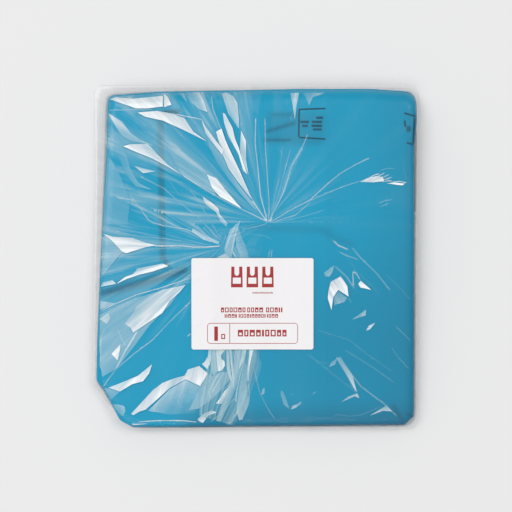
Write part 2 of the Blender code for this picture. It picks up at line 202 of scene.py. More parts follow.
                         (-14.3, -87.5), (-12.6, -81.3)]),
    (190, 0.9, 0.58, 0.64, [(-6.1, -75), (-2.7, -75), (-4.4, -81.3), (-6.1, -90.2), (-6.8, -101.8),
                           (-8.5, -100.4), (-7.8, -90.2), (-6.4, -81.3)]),
    (10, 1.1, 0.35, 0.41, [(-10.2, -84.7), (-8, -90.2), (-8.7, -101.8), (-6.8, -120.9), (-11.9, -133.2),
                          (-14.6, -133.9), (-16.7, -127.1), (-15.3, -112), (-12.6, -96.3)]),
    (350, 0.6, 0.18, 0.14, [(-2.6, -75), (4, -86.5), (2.5, -94), (-1, -103), (-3.4, -88)]),
    (330, 1.0, 0.58, 0.62, [(-20.1, -103.2), (-22.8, -108.6), (-25.6, -114.1), (-29, -120.2),
                           (-33.8, -120.2), (-29.7, -114.8), (-26.9, -110)]),
    (120, 0.9, 0.5, 0.6, [(-48.8, -133), (-43.5, -128), (-37, -125.7), (-33, -127.5), (-40, -130),
                            (-44.5, -136), (-47.5, -134.5)]),
]

# Narrow creases: height, half width, haze, and the points they run through. The haze is partly real
# whitening of the crease and partly painted highlight along its ridge.
CREASES = [
    # From the long pleat and the corner to the gather.
    (0.6, 1.3, 0.6, [(-61.5, 67.5), (-50.5, 60.5), (-38.5, 53.5), (-25.5, 46), (-11.5, 39), (8, 29.5)]),
    (0.5, 1.1, 0.36, [(-82, 101.5), (-76, 95.5), (-59.5, 85.5), (-43, 71.5), (-25.5, 55), (-12.5, 40)]),
    (0.4, 1.0, 0.62, [(-70.5, 118), (-45, 113), (-43.5, 109), (-33, 95)]),
    (0.3, 0.9, 0.5, [(-122.5, 120.5), (-84, 121.5)]),
    (0.6, 1.3, 0.6, [(-4.5, 48), (2, 38), (8.5, 29)]),
    (0.4, 1.0, 0.42, [(-21, 68.5), (-16, 59), (-2, 43), (8, 29.5)]),
    (0.4, 1.1, 0.45, [(-37.5, 134), (-36, 121.5), (-30, 106), (-23, 86.5), (-11.5, 60), (7, 31)]),
    (0.35, 1.0, 0.34, [(-15, 115), (-8, 94), (-4, 82.5)]),
    (0.4, 2.4, 0.62, [(5.5, 33.5), (7.5, 30.5), (8.8, 28.4)]),
    (0.4, 2.0, 0.58, [(8.8, 28.4), (11, 30.5), (12.8, 34)]),
    # The fan right of the gather.
    (0.5, 1.1, 0.56, [(9, 28.5), (3, 50), (0.5, 76), (-1.5, 93), (-1, 115.5)]),
    (0.5, 1.0, 0.5, [(9.5, 28), (10, 46), (8.5, 66), (7, 90), (6.5, 115.5)]),
    (0.4, 1.0, 0.42, [(10, 29), (21.5, 53), (28.5, 75), (37, 90), (42, 102)]),
    (0.3, 0.9, 0.3, [(13, 39), (15.5, 54), (19, 66)]),
    (0.5, 1.1, 0.48, [(10.5, 28.5), (26, 38), (43.5, 47), (57.5, 60), (68.5, 69), (82.5, 77), (93.5, 82)]),
    (0.4, 1.0, 0.4, [(43.5, 46.5), (55.5, 52), (70.5, 58), (85.5, 63)]),
    (0.4, 1.0, 0.42, [(10.5, 28), (32, 35), (44.5, 46)]),
    (0.3, 1.0, 0.28, [(11, 28), (36, 33), (55.5, 39)]),
    (0.25, 0.9, 0.18, [(12, 28), (38, 30), (51, 33)]),
    (0.4, 1.1, 0.34, [(9, 28), (-1, 25), (-14, 23)]),
    (0.3, 0.9, 0.3, [(98.5, 44), (105, 46.5), (112, 47.5)]),
    (0.3, 0.9, 0.28, [(100, 41), (109, 45)]),
    (0.25, 0.8, 0.26, [(100, 71), (107, 73), (114, 72.5)]),
    (0.25, 0.9, 0.16, [(119.5, 76), (122.5, 63)]),
    # From the left edge to the lower gather.
    (0.5, 1.1, 0.5, [(-105, 53), (-89, 31), (-85.5, 28.5), (-76, 26), (-58, 23), (-32, 12.5)]),
    (0.45, 1.0, 0.44, [(-97, 67), (-76, 56.5), (-64, 45.5), (-48.5, 33.5), (-29, 13)]),
    (0.4, 1.0, 0.38, [(-56, 57.5), (-47.5, 45.5), (-38.5, 30), (-28.5, 14)]),
    (0.4, 1.2, 0.3, [(-76, 36.5), (-62, 28), (-48.5, 21), (-31, 12)]),
    (0.7, 1.2, 0.74, [(-29, 9.5), (-41, 8.5), (-52, 8.5), (-61.5, 9.5), (-81, 9.5), (-91, 11)]),
    (0.4, 1.0, 0.4, [(-126, 26), (-110.5, 20), (-95, 17), (-76, 15.5), (-60, 13)]),
    (0.3, 0.9, 0.3, [(-126, 22.5), (-112, 18.5)]),
    (0.3, 0.9, 0.24, [(-83, 70.5), (-76, 68.5), (-70.5, 61), (-62.5, 49)]),
    (0.3, 0.9, 0.34, [(-111, 0.5), (-125, -14.5)]),
    (0.3, 0.9, 0.4, [(-111, 0.5), (-98, 4), (-87.5, 6)]),
    # Below the ridge on the left.
    (0.6, 1.1, 0.62, [(-128.5, -43.5), (-115, -37.5), (-98.5, -30.5), (-77.5, -24.5), (-53.5, -16.5)]),
    (0.4, 0.9, 0.34, [(-128.5, -45.5), (-114, -39.5), (-93.5, -32), (-53.5, -19.5)]),
    (0.5, 1.1, 0.44, [(-53.5, -35.5), (-71.5, -52.5), (-85.5, -67.5), (-101.5, -79.5), (-116, -92),
                      (-127, -107)]),
    (0.5, 1.2, 0.62, [(-97.5, -59.5), (-102.5, -67.5), (-109, -78.5), (-116, -92)]),
    (0.4, 1.0, 0.5, [(-128, -63.5), (-128.3, -78.5), (-128.6, -89.5), (-126, -94)]),
    (0.4, 1.0, 0.4, [(-124.5, -57.5), (-128, -66)]),
    (0.3, 0.9, 0.26, [(-124, -77.5), (-124.5, -90)]),
    (0.4, 1.2, 0.42, [(-115, -57.5), (-110.5, -67.5), (-107, -73.5)]),
    (0.4, 1.2, 0.5, [(-58, -65.5), (-53, -61.5)]),
    (0.5, 1.0, 0.66, [(-98.5, -135.2), (-81.5, -134), (-61.5, -134), (-48.5, -135.5)]),
    # The right half.
    (0.7, 1.5, 0.52, [(61.5, 14.5), (66.5, 10), (75.5, 6)]),
    (0.5, 1.2, 0.39, [(66.5, 5), (72.5, 2), (83.5, -2)]),
    (0.5, 1.2, 0.36, [(77, 9), (85.5, -1), (98.5, -13.5), (109.5, -27.5)]),
    (0.6, 1.2, 0.41, [(63.5, -6.5), (73.5, -16), (80.5, -26.5)]),
    (0.6, 1.2, 0.54, [(79, -23.5), (78.5, -12.5), (81, -12.5), (85, -19)]),
    (0.3, 0.9, 0.31, [(75, -32), (77.5, -38.5)]),
    (0.6, 1.2, 0.36, [(68.5, -83), (78.5, -97), (85.5, -106), (105.5, -121), (115.5, -131)]),
    (0.3, 0.9, 0.31, [(66, -84), (73.5, -96), (82, -112)]),
    (0.4, 1.0, 0.39, [(44.5, -113), (49.5, -109.5)]),
    (0.3, 1.0, 0.16, [(49, -59.5), (75.5, -67.5), (90.5, -79.5), (111.5, -94)]),
    (0.4, 1.1, 0.22, [(71.5, -75.5), (95.5, -90.5), (113, -103)]),
    (0.3, 1.0, 0.22, [(113, -55.5), (127, -69.5)]),
    (0.3, 1.0, 0.19, [(109.5, -72.5), (115.5, -81.5), (125.5, -92.5)]),
    (0.3, 1.0, 0.11, [(73.5, 0), (84.5, -14.5), (93.5, -22), (101.5, -33)]),
    (0.3, 1.0, 0.16, [(105.5, -13.5), (118.5, -26.5), (126.5, -35.5)]),
    (0.3, 1.0, 0.16, [(40.5, -78.5), (49.5, -85.5), (60, -87)]),
    (0.3, 1.0, 0.14, [(49.5, -85.5), (81, -110.5)]),
    (0.3, 1.0, 0.17, [(63.5, -131), (66.5, -129), (75.5, -130.5), (85.5, -129.5), (103.5, -122)]),
    (0.5, 1.0, 0.31, [(-3.7, -87.5), (-0.3, -100.4), (2.4, -111.4), (9.3, -125), (15.4, -134)]),
    # Feathered ends of the patches on the right.
    (0.4, 0.9, 0.66, [(88, 62.6), (95, 67), (101, 69)]),
    (0.4, 0.9, 0.66, [(92, 62.4), (99, 66.4), (105.5, 69.6)]),
    (0.4, 0.9, 0.66, [(96, 62), (103, 65.6), (109.5, 68.4)]),
    (0.4, 0.9, 0.62, [(99, 62), (106, 64.4), (111.5, 66)]),
    (0.4, 0.9, 0.6, [(101, 61.5), (107.5, 62.8), (112, 62.6)]),
    (0.4, 0.9, 0.6, [(109, 61), (116, 62.4), (123.5, 61)]),
    (0.3, 0.9, 0.34, [(10, 29), (17, 50), (22.5, 70), (27.5, 89)]),
    (0.3, 0.9, 0.26, [(10, 29), (15, 52), (19, 72), (21, 92)]),
    # Round the tongue.
    (0.5, 1.0, 0.5, [(-14.5, 28), (-18.5, 16), (-20.5, 6), (-17, -1)]),
    (0.5, 1.0, 0.5, [(-17, 27), (-22.5, 16), (-25.8, 6)]),
    (0.4, 1.0, 0.46, [(-21, 7), (-18.5, 3), (-16.4, -1)]),
    (0.3, 0.9, 0.4, [(9.5, -1), (10, 3), (10.7, 7.3)]),
    (0.3, 0.9, 0.4, [(11.6, -1), (12, 3), (12.4, 7.3)]),
    (0.3, 1.0, 0.3, [(-13.3, 20.8), (-9.8, 23.7), (3, 26), (8.3, 27.5)]),
    (0.3, 1.0, 0.2, [(-12.2, 20.2), (6, 17.9), (13, 14.6)]),
    # In the mouth below the label.
    (0.5, 1.0, 0.52, [(-29.7, -93.3), (-36, -103), (-39.5, -110), (-38.8, -116)]),
    (0.5, 1.0, 0.5, [(-26.5, -93), (-33, -104), (-37.5, -112.5)]),
    (0.5, 1.0, 0.5, [(-18, -75), (-14.6, -83.4), (-14, -90)]),
    (0.5, 1.0, 0.44, [(-19.8, -75), (-17.4, -88.1), (-16.4, -96.3)]),
    (0.6, 1.2, 0.62, [(-9.9, -81.3), (-13.3, -95), (-16.7, -110), (-17.4, -120.2)]),
    (0.5, 1.0, 0.5, [(-6.8, -101.8), (-6.4, -111), (-6.8, -120.9)]),
    (0.5, 1.0, 0.46, [(-8.5, -103), (-10.5, -115), (-13, -124.5), (-20.8, -132.5)]),
    (0.5, 1.0, 0.42, [(-18, -114.8), (-23.5, -121.6), (-29.7, -128.4), (-38.5, -135.3)]),
    (0.4, 1.0, 0.4, [(-35.5, -76), (-36.2, -88), (-39, -99), (-47, -120)]),
    (0.4, 1.0, 0.36, [(-20, -103), (-31, -110), (-42, -121)]),
]

# Soft marks seen through the bags' upper layers: centre, half size, turn in degrees, softness, strength.
STRENGTH_OF_PRINT = 0.95
MARKS = [
    # The printed frame near the fold, and the rows inside it.
    ((34.4, 110), (0.65, 11.4), -1, 0.4, STRENGTH_OF_PRINT),
    ((45.3, 121.6), (10.8, 0.65), 2, 0.4, STRENGTH_OF_PRINT),
    ((45.3, 97.6), (10.8, 0.65), -3.5, 0.4, STRENGTH_OF_PRINT),
    ((51.3, 114.4), (2.8, 1), 0, 0.6, 0.9),
    ((39, 111), (3.6, 1), 0, 0.6, 0.85),
    ((49.2, 111), (4.2, 1), 0, 0.6, 0.85),
    ((39.3, 107.8), (2.4, 1), 0, 0.6, 0.8),
    ((49, 107.8), (4.3, 1), 0, 0.6, 0.9),
    ((49.4, 104.8), (3.7, 0.9), 0, 0.6, 0.85),
    # The frame at the right edge.
    ((125.3, 116.9), (4.8, 0.7), -16, 0.5, STRENGTH_OF_PRINT),
    ((128.6, 103.4), (0.8, 10.6), -3, 0.5, STRENGTH_OF_PRINT),
    ((125.2, 93.2), (2.6, 0.7), -16, 0.5, 0.9),
    ((121.2, 109.6), (0.8, 2.6), 8, 0.6, 0.9),
    ((124.2, 105.4), (1.8, 2.4), 0, 1.1, 0.7),
    # Smudges of print on deeper bags.
    ((19.5, 106.8), (12.5, 1), 17, 2.6, 0.6),
    ((17, 96.2), (11.5, 1), 0, 2, 0.62),
    ((30, 95), (24, 1.6), -2, 5, 0.22),
    ((23, 117.2), (11, 1), 0, 2.8, 0.34),
    ((-70.5, 119.2), (7, 1.4), 0, 2.6, 0.85),
    ((-78.4, 58), (2.4, 61), 0.8, 2.2, 0.42),
    ((-76.3, 60), (0.5, 60), 0.8, 0.9, 0.52),
    ((-79.8, 66), (0.4, 52), 0.8, 0.8, 0.5),
    ((-75.5, -2), (1.6, 7), 25, 2.6, 0.55),
]

# The heights at which the marks and the shade end on the bags' sides.
PRINT_LOWEST = 16
SHADE_LOWEST = 6
# Painted shadow in the gap between the film and the upper part of the bags' right side, in the same form.
FILM_SHADOW = ((131.4, 71), (0.6, 33), -0.6, 0.8, 0.9)

# Painted shade on the bags, in the same form: the shadow under the long fold, shade right of the
# gathers, and darker towards the right and lower edges.
SHADES = [
    ((-92, -20), (37, 2.8), 15.5, 4, 0.8),
    ((32, 107), (25, 12), 0, 5, 0.2),
    ((26, 23.5), (34, 1.5), -2, 6, 0.28),
    ((67, 15), (14, 1), -22, 5, 0.26),
    ((101.2, 0), (44.5, 150), 0, 0.8, 0.05),
    ((150, 0), (44, 160), 0, 34, 0.2),
    ((80, -95), (80, 80), 0, 60, 0.23),
    ((50, -144), (110, 17), 0, 15, 0.5),
    ((134, -10), (9, 130), 0, 8, 0.35),
    ((13, -139.3), (116, 1.4), 0.6, 2.2, 0.7),
    ((116, -128.3), (1.2, 8.5), 30, 3, 0.55),
    ((126, -129.5), (3.5, 0.8), -25, 2, 0.6),
]

# Faint creases pressed into the label, as the points that they run through.
LABEL_CREASES = [
    [(-53.2, -19), (-47, -15.6), (-41, -13.6)],
    [(-39.6, -14.4), (-41, -18), (-43.7, -20.5)],
    [(-52.5, -55.4), (-49, -55), (-46, -52.5)],
    [(-39, -52), (-36.5, -50.5), (-33.6, -47.5)],
]
# The label's print: the middles of three carrier-bag signs, and rows of blocks that stand for words,
# each row as its foot, its head and where its words start and end.
BAG_SIGNS = (-16.5, -3.8, 8.9)
WORD_ROWS = [
    (-45, -41, [(-29.5, -9.3), (-8, 5), (7.5, 21.4)]),
    (-49.4, -46.4, [(-26.5, -16.5), (-15, 7), (8.2, 18)]),
]
# The frame round the lowest row: left, right, top, bottom, corner radius, line width.
PRINT_FRAME = (-40.8, 33.6, -53.7, -70.8, 2.4, 0.5)

# The camera, in metres: its height, the width that it sees and at which height, and its X and Y.
CAMERA_HEIGHT = 2.2
VIEW_WIDTH = 0.4198
VIEW_WIDTH_AT = 0.025
CAMERA_SHIFT = (-0.0008, 0.0012)
SENSOR = 36
WORLD_LIGHT = 0.45
# Square lights: name, turn about Z and angle from straight above in degrees, side in metres, watts.
LIGHT_DISTANCE = 5
LIGHTS = [
    ("key_light", 150, 25, 2.4, 72),
    ("fill_light", 40, 25, 1.8, 42),
    ("side_light", 250, 27, 1.8, 42),
]


def clamp(value, low=0.0, high=1.0):
    """Each value, kept between low and high."""
    return np.minimum(np.maximum(value, low), high)


def smooth(value):
    """0 to 1 with a soft start and end, while the value goes from 0 to 1."""
    value = clamp(value)
    return value * value * (3 - 2 * value)


# Plans


def rounded_plan(corners, step):
    """Points clockwise round (x, y, radius) corners: arcs at the corners, and one point per step between."""
    arcs = []
    for i, (x, y, radius) in enumerate(corners):
        here = Vector((x, y))
        before = Vector(corners[i - 1][:2]) - here
        after = Vector(corners[(i + 1) % len(corners)][:2]) - here
        reach = min(before.length, after.length) * 0.48
        before.normalize()
        after.normalize()
        side = math.copysign(1, after.y * before.x - after.x * before.y)
        half = before.angle(after) / 2
        tangent = min(radius / math.tan(half), reach)
        radius = tangent * math.tan(half)
        if radius * (math.pi - 2 * half) < 0.2:
            arcs.append([here])
            continue
        centre = here + (before + after).normalized() * (radius / math.sin(half))
        start = here + before * tangent - centre
        turn = math.pi - 2 * half
        count = max(2, math.ceil(radius * turn / min(step, 2.0)))
        arc = []
        for s in range(count + 1):
            cos, sin = math.cos(turn * s / count), -side * math.sin(turn * s / count)
            arc.append(centre + Vector((start.x * cos - start.y * sin, start.x * sin + start.y * cos)))
        arcs.append(arc)
    points = []
    for i, arc in enumerate(arcs):
        after = arcs[(i + 1) % len(arcs)][0]
        count = max(1, round((after - arc[-1]).length / step))
        points += arc + [arc[-1].lerp(after, s / count) for s in range(1, count)]
    return np.array([tuple(p) for p in points])


def inset_ring(outline, depth):
    """The outline's points moved inwards by depth."""
    before = np.roll(outline, 1, axis=0)
    after = np.roll(outline, -1, axis=0)
    along = after - before
    along /= np.linalg.norm(along, axis=1)[:, None]
    inward = np.column_stack([along[:, 1], -along[:, 0]])
    return outline + inward * depth


def nearest_on(line, points, closed):
    """(distance, nearest point, length along) from each of points to a line of points."""
    a = line if closed else line[:-1]
    b = np.roll(line, -1, axis=0) if closed else line[1:]
    run = np.linalg.norm(b - a, axis=1)
    starts = np.concatenate([[0], np.cumsum(run)[:-1]])
    best = np.full(len(points), 1e9)
    where = np.zeros((len(points), 2))
    along = np.zeros(len(points))
    for p, q, length, start in zip(a, b, run, starts):
        share = clamp(((points - p) @ (q - p)) / length**2)
        spot = p + share[:, None] * (q - p)
        distance = np.linalg.norm(points - spot, axis=1)
        closer = distance < best
        best[closer] = distance[closer]
        where[closer] = spot[closer]
        along[closer] = (start + share * length)[closer]
    return best, where, along


def inside(plan, points):
    """True for each of points that is inside the closed plan."""
    x, y = points[:, 0], points[:, 1]
    found = np.zeros(len(points), bool)
    for a, b in zip(plan, np.roll(plan, -1, axis=0)):
        crosses = (a[1] > y) != (b[1] > y)
        with np.errstate(divide="ignore", invalid="ignore"):
            at = a[0] + (y - a[1]) * (b[0] - a[0]) / (b[1] - a[1])
        found ^= crosses & (x < at)
    return found


def subdivided(line, step, closed=False):
    """The line with extra points, no further apart than step."""
    ends = np.vstack([line, line[:1]]) if closed else line
    points = []
    for a, b in zip(ends, ends[1:]):
        count = max(1, math.ceil(np.linalg.norm(b - a) / step))
        points += [a + (b - a) * s / count for s in range(count)]
    if not closed:
        points.append(ends[-1])
    return np.array(points)


def triangulated(rim, lines, loose):
    """(points, triangles) inside a closed rim, which keeps its points first. lines are (points, closed)."""
    points = [tuple(p) for p in rim]
    edges = [(i, (i + 1) % len(rim)) for i in range(len(rim))]
    for line, closed in lines:
        first = len(points)
        points += [tuple(p) for p in line]
        count = len(line)
        edges += [(first + i, first + (i + 1) % count) for i in range(count if closed else count - 1)]
    points += [tuple(p) for p in loose]
    found, _, faces, *_ = delaunay_2d_cdt([Vector(p) for p in points], edges, [], 1, 0.01)
    return np.array([tuple(p) for p in found]), [tuple(f) for f in faces]


def grid_inside(plan, step, margin, seed):
    """Slightly scattered grid points inside a plan, a margin away from its edge."""
    rng = np.random.default_rng(seed)
    low, high = plan.min(axis=0), plan.max(axis=0)
    x, y = np.meshgrid(np.arange(low[0], high[0], step), np.arange(low[1], high[1], step))
    points = np.column_stack([x.ravel(), y.ravel()])
    points += rng.uniform(-0.25, 0.25, points.shape) * step
    points = points[inside(plan, points)]
    return points[nearest_on(plan, points, True)[0] > margin]


def clear_of(points, lines, gap):
    """Those of points that are more than gap away from every line."""
    keep = np.ones(len(points), bool)
    for line, closed in lines:
        low, high = line.min(axis=0) - gap, line.max(axis=0) + gap
        near = keep & ((points > low) & (points < high)).all(axis=1)
        if near.any():
            spots = np.flatnonzero(near)
            keep[spots] = nearest_on(line, points[spots], closed)[0] > gap
    return points[keep]


# Heights, in millimetres

FACE_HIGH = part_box("bag_stack")[1].z / MM
FACE_SINK = 0.3
FACE_SLOPE = 0.07
SLOPE_START_Y = -8.0
SLOPE_BLEND = 22.0
VALLEY_DEPTH = 2.0
VALLEY_HALF_WIDTH = 46.0
VALLEY_BEVEL = 30.0
EDGE_RADIUS = 4.5
FOLD_RADIUS = 12.5
FOLD_BLEND = 26.0
RIM_DEPTHS = (1.4, 2.8, 4.8, 8.5)
RECESS_DEPTH = 2.4
HANDLE_END_DEPTH = 0.9
HANDLE_START_X = 42
LAYERS = 26
LAYER_FILL = 0.8
LAYER_SLIP = 0.3
LEAST_LAYER = 0.9955
FILM_GAP = 0.55
FILM_EDGE_HEIGHT = 2.0
FILM_UNDERSIDE = 0.12
FILM_WALL_SHARES = (0.0, 0.12, 0.28, 0.48, 0.7, 0.88)
FILM_RIM_DEPTHS = (1.2, 2.6, 4.6, 8.5)
WALL_CURVE = 2.4
FOLD_STEEPNESS = 1.8
LOW_EDGE_RISE = 0.15
CREASE_WIDTH = 0.8
CREASE_END_WIDTH = 0.25
CREASE_END_SHARE = 0.22
PLEATS = 17
PLEAT_HEIGHT = 0.022
MOUTH_HALF_SPREAD = 30
MOUTH_X = -17
LABEL_GAP = 0.9
LABEL_OVER_MOUTH = 1.0
LABEL_THICKNESS = 0.18
LABEL_CREASE_HEIGHT = 0.35
# Gentle waves, as rows of height, spread and seed: the bags' face, the smooth film, and the film's wall.
FACE_WAVES = [(0.35, 60, 3.0)]
FILM_WAVES = [(0.12, 14, 1.0), (0.05, 5, 2.0)]
WALL_RUFFLES = [(0.66, 12, 7.0), (0.24, 6, 8.0)]

# Haze of the film: a facet's low and raised edge beside its stated values, which paints shade at the
# low edge and sheen at the raised edge; the loose edge; and the painted sheen round the gathers at its
# least and most, strongest towards the upper left, and just above the top gather.
LOW_EDGE_HAZE_AND_SHADE = 0.88
RAISED_EDGE_HAZE_AND_SHEEN = 1.1
MARGIN_HAZE = 0.56
SHEEN_FIELD_LEAST = 0.035
SHEEN_FIELD_MOST = 0.74
NEAR_GATHER_SHEEN = 0.33
NEAR_GATHER_SHEEN_REACH = 95.0
# The film's wall share that stays clear on the far side, at the lower right, and the share over which it
# turns loose. Towards the lights at the upper left the wall whitens from its top: painted highlight.
CLEAR_WALL = 0.14
LOOSE_BLEND = 0.3
# Streaks round a gather: how many for each radian, how long, and the left gather's own start.
STREAKS = 14
STREAK_LENGTH = 70
LEFT_STREAKS_FROM = 50
# Past the pack, so that the film's underside gets no soft haze.
FAR_AWAY = 200.0

BAG_OUTLINE = rounded_plan(BAG_PLAN, step=3)
FILM_OUTLINE = rounded_plan(FILM_PLAN, step=3)
BAG_TOP = BAG_OUTLINE[:, 1].max()
LABEL_LOW = np.array((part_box("label")[0] / MM)[:2])
LABEL_HIGH = np.array((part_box("label")[1] / MM)[:2])
LABEL_MIDDLE = (LABEL_LOW + LABEL_HIGH) / 2
LABEL_HALF = (LABEL_HIGH - LABEL_LOW) / 2


def waves(points, rows):
    """The sum of smooth noise at points, from rows of height, spread and seed."""
    total = np.zeros(len(points))
    for height, spread, seed in rows:
        total += height * np.array([noise.noise((x / spread, y / spread, seed)) for x, y in points])
    return total


def face_height(points):
    """The upper face of the bags: level by the fold, then falling, with a shallow valley down the middle."""
    x, y = points[:, 0], points[:, 1]
    beyond = SLOPE_START_Y - y
    fall = FACE_SLOPE * (np.sqrt(beyond**2 + SLOPE_BLEND**2) + beyond) / 2
    valley = VALLEY_DEPTH * smooth((VALLEY_HALF_WIDTH - np.abs(x)) / VALLEY_BEVEL)
    return FACE_HIGH - FACE_SINK - fall - valley + waves(points, FACE_WAVES)


def rim_drop(depth, y):
    """How far the rounded rim has dropped at a depth in from the bags' outline."""
    fold = smooth((y - BAG_TOP + FOLD_BLEND) / FOLD_BLEND)
    radius = EDGE_RADIUS + (FOLD_RADIUS - EDGE_RADIUS) * fold
    short = clamp(radius - depth, 0, radius)
    return radius - np.sqrt(radius**2 - short**2)


def bag_height(points):
    """The top of the bags, down over their rounded rim."""
    depth = nearest_on(BAG_OUTLINE, points, True)[0]
    depth = np.where(inside(BAG_OUTLINE, points), depth, 0)
    return face_height(points) - rim_drop(depth, points[:, 1])


def way_out(points):
    """0 over the bags to 1 at the film's edge, and the distance along the bags' outline."""
    outward, _, along = nearest_on(BAG_OUTLINE, points, True)
    outward = np.where(inside(BAG_OUTLINE, points), 0, outward)
    to_edge = nearest_on(FILM_OUTLINE, points, True)[0]
    return outward / np.maximum(outward + to_edge, 1e-6), along


def film_base(points):
    """The film with no folds: a little above the bags, then down to its loose edge."""
    height = bag_height(points) + FILM_GAP
    share, along = way_out(points)
    wall = FILM_EDGE_HEIGHT + (height - FILM_EDGE_HEIGHT) * (1 - share) ** WALL_CURVE
    ruffle = waves(np.column_stack([along, share * 8]), WALL_RUFFLES)
    return wall + ruffle * np.sin(math.pi * clamp(share * 1.15))


def facet_rise(facet, points):
    """(height, haze, inside it) of each point for one facet. Past its edge it drops away steeply. The haze is
    partly real whitening of the creased film and partly painted highlight, whiter towards the raised edge.
    """
    facing, rise, low_haze, high_haze, corners = facet
    plan = np.array(corners, float)
    toward = -np.array([math.cos(math.radians(facing)), math.sin(math.radians(facing))])
    low, span = (plan @ toward).min(), np.ptp(plan @ toward)
    within = inside(plan, points)
    distance, spot, _ = nearest_on(plan, points, True)
    spot[within] = points[within]
    share = clamp((spot @ toward - low) / span)
    height = rise * (LOW_EDGE_RISE + (1 - LOW_EDGE_RISE) * share)
    height -= np.where(within, 0, distance * FOLD_STEEPNESS)
    haze = low_haze * LOW_EDGE_HAZE_AND_SHADE * (1 - share) + high_haze * RAISED_EDGE_HAZE_AND_SHEEN * share
    return np.maximum(height, 0), haze, within


def film_folds(points):
    """The height of all facets and creases at points. The label presses them down."""
    height = np.zeros(len(points))
    for facet in FACETS:
        height = np.maximum(height, facet_rise(facet, points)[0])
    for crease in CREASES:
        height = np.maximum(height, crease[0] * crease_share(crease, points))
    out = np.maximum(np.abs(points - LABEL_MIDDLE) - LABEL_HALF, 0).max(axis=1)
    flat = smooth(out / 5) * (0.35 + 0.65 * smooth(past_mouth(points) / 3))
    return height * flat + waves(points, FILM_WAVES)


def past_mouth(points):
    """How far each point is outside the mouth's edge."""
    line = np.array([place[:2] for place in MOUTH])
    runs = np.concatenate([[0], np.cumsum(np.linalg.norm(np.diff(line, axis=0), axis=1))])
    distance, _, along = nearest_on(line, points, False)
    return np.maximum(distance - np.interp(along, runs, [place[2] for place in MOUTH]), 0)


def crease_share(crease, points):
    """1 on a crease's line, 0 past its half width, and less towards the ends of the line."""
    line = np.array(crease[3], float)
    distance, _, along = nearest_on(line, points, False)
    length = np.linalg.norm(np.diff(line, axis=0), axis=1).sum()
    to_end = np.minimum(along, length - along)
    taper = CREASE_END_WIDTH + (1 - CREASE_END_WIDTH) * smooth(to_end / (CREASE_END_SHARE * length))
    return clamp(1 - distance / (crease[1] * CREASE_WIDTH * taper)) * smooth(to_end / 3 + 0.2)


def crease_haze_and_highlight(points):
    """The haze of the creases over the bags, partly real whitening and partly painted highlight, and of the
    loose film round them.
    """
    haze = np.zeros(len(points))
    for crease in CREASES:
        haze = np.maximum(haze, crease[2] * crease_share(crease, points))
    return np.where(inside(BAG_OUTLINE, points), haze, MARGIN_HAZE * looseness(points))


def looseness(points):
    """0 over the bags and on the film's steep wall, 1 where the film lies loose on the floor."""
    # Painted highlight: on the upper left wall is 0, so the film whitens from the top of its wall.
    wall = CLEAR_WALL * smooth((points[:, 0] - points[:, 1]) / 60)
    return smooth((way_out(points)[0] - wall) / (LOOSE_BLEND + wall))


def painted_sheen_field(points, faces):
    """The painted sheen round the gathers, as soft haze. It is strongest at the upper left, towards the
    lights, and ends beside the tongue.
    """
    x, y = points[:, 0], points[:, 1]
    field = SHEEN_FIELD_LEAST + SHEEN_FIELD_MOST * smooth((35 - x) / 90) * smooth((y + 75) / 75)
    above_gather = faces[:, 1] > TOP_GATHER[1]
    near = smooth(1 - np.linalg.norm(points - TOP_GATHER, axis=1) / NEAR_GATHER_SHEEN_REACH) * above_gather
    field = np.maximum(field, NEAR_GATHER_SHEEN * near)
    return field * (1 - smooth((x + 6) / 12) * smooth((27 - y) / 8))


def fan_of(faces, points):
    """For each point, from the gather that its face's middle belongs to: turn, distance and painted sheen."""
    x, y = faces[:, 0], faces[:, 1]
    left = (y < 20 - 0.35 * (x + 30)) & (x < 0)
    low = (y < 0) & (x >= 0)
    middle = np.where(left[:, None], LEFT_GATHER, np.where(low[:, None], RIGHT_GATHER, TOP_GATHER))
    away = points - middle
    turn = np.arctan2(away[:, 1], away[:, 0])
    turn = np.where(np.where(left, turn < 0, turn < -math.pi / 2), turn + 2 * math.pi, turn)
    streak = turn * STREAKS + np.where(left, LEFT_STREAKS_FROM, 0)
    reach = np.linalg.norm(away, axis=1) / STREAK_LENGTH
    return np.column_stack([streak, reach, painted_sheen_field(points, faces)])


# Meshes


def new_piece(name, points, faces):
    """An object from points in millimetres and faces, at the origin."""
    mesh = bpy.data.meshes.new(name)
    mesh.from_pydata([tuple(p * MM) for p in points], [], faces)
    mesh.validate()
    mesh.update()
    piece = bpy.data.objects.new(name, mesh)
    bpy.context.scene.collection.objects.link(piece)
    return piece


def facing_up(points, faces):
    """The same triangles, all turned to face up."""
    turned = []
    for face in faces:
        a, b, c = (points[i] for i in face[:3])
        up = (b[0] - a[0]) * (c[1] - a[1]) - (b[1] - a[1]) * (c[0] - a[0])
        turned.append(face if up > 0 else tuple(reversed(face)))
    return turned


def closed_shell(name, plan, faces, top, under_plan, under_faces, under, rim):
    """A piece with an upper and a lower surface that share the first rim points."""
    above = np.column_stack([plan, top])
    below = np.column_stack([under_plan, under])[rim:]
    shift = len(above) - rim
    lower = []
    for face in facing_up(under_plan, under_faces):
        lower.append(tuple(i if i < rim else i + shift for i in reversed(face)))
    return new_piece(name, np.vstack([above, below]), facing_up(plan, faces) + lower)


def walled_body(name, plan, faces, top, under_plan, under_faces, under, rim):
    """A piece whose upper and lower surfaces both start with the same rim points, joined by a wall."""
    above = np.column_stack([plan, top])
    below = np.column_stack([under_plan, under])
    shift = len(above)
    lower = [tuple(i + shift for i in reversed(f)) for f in facing_up(under_plan, under_faces)]
    wall = []
    for i in range(rim):
        j = (i + 1) % rim
        wall += [(i, j, j + shift), (i, j + shift, i + shift)]
    return new_piece(name, np.vstack([above, below]), facing_up(plan, faces) + wall + lower)


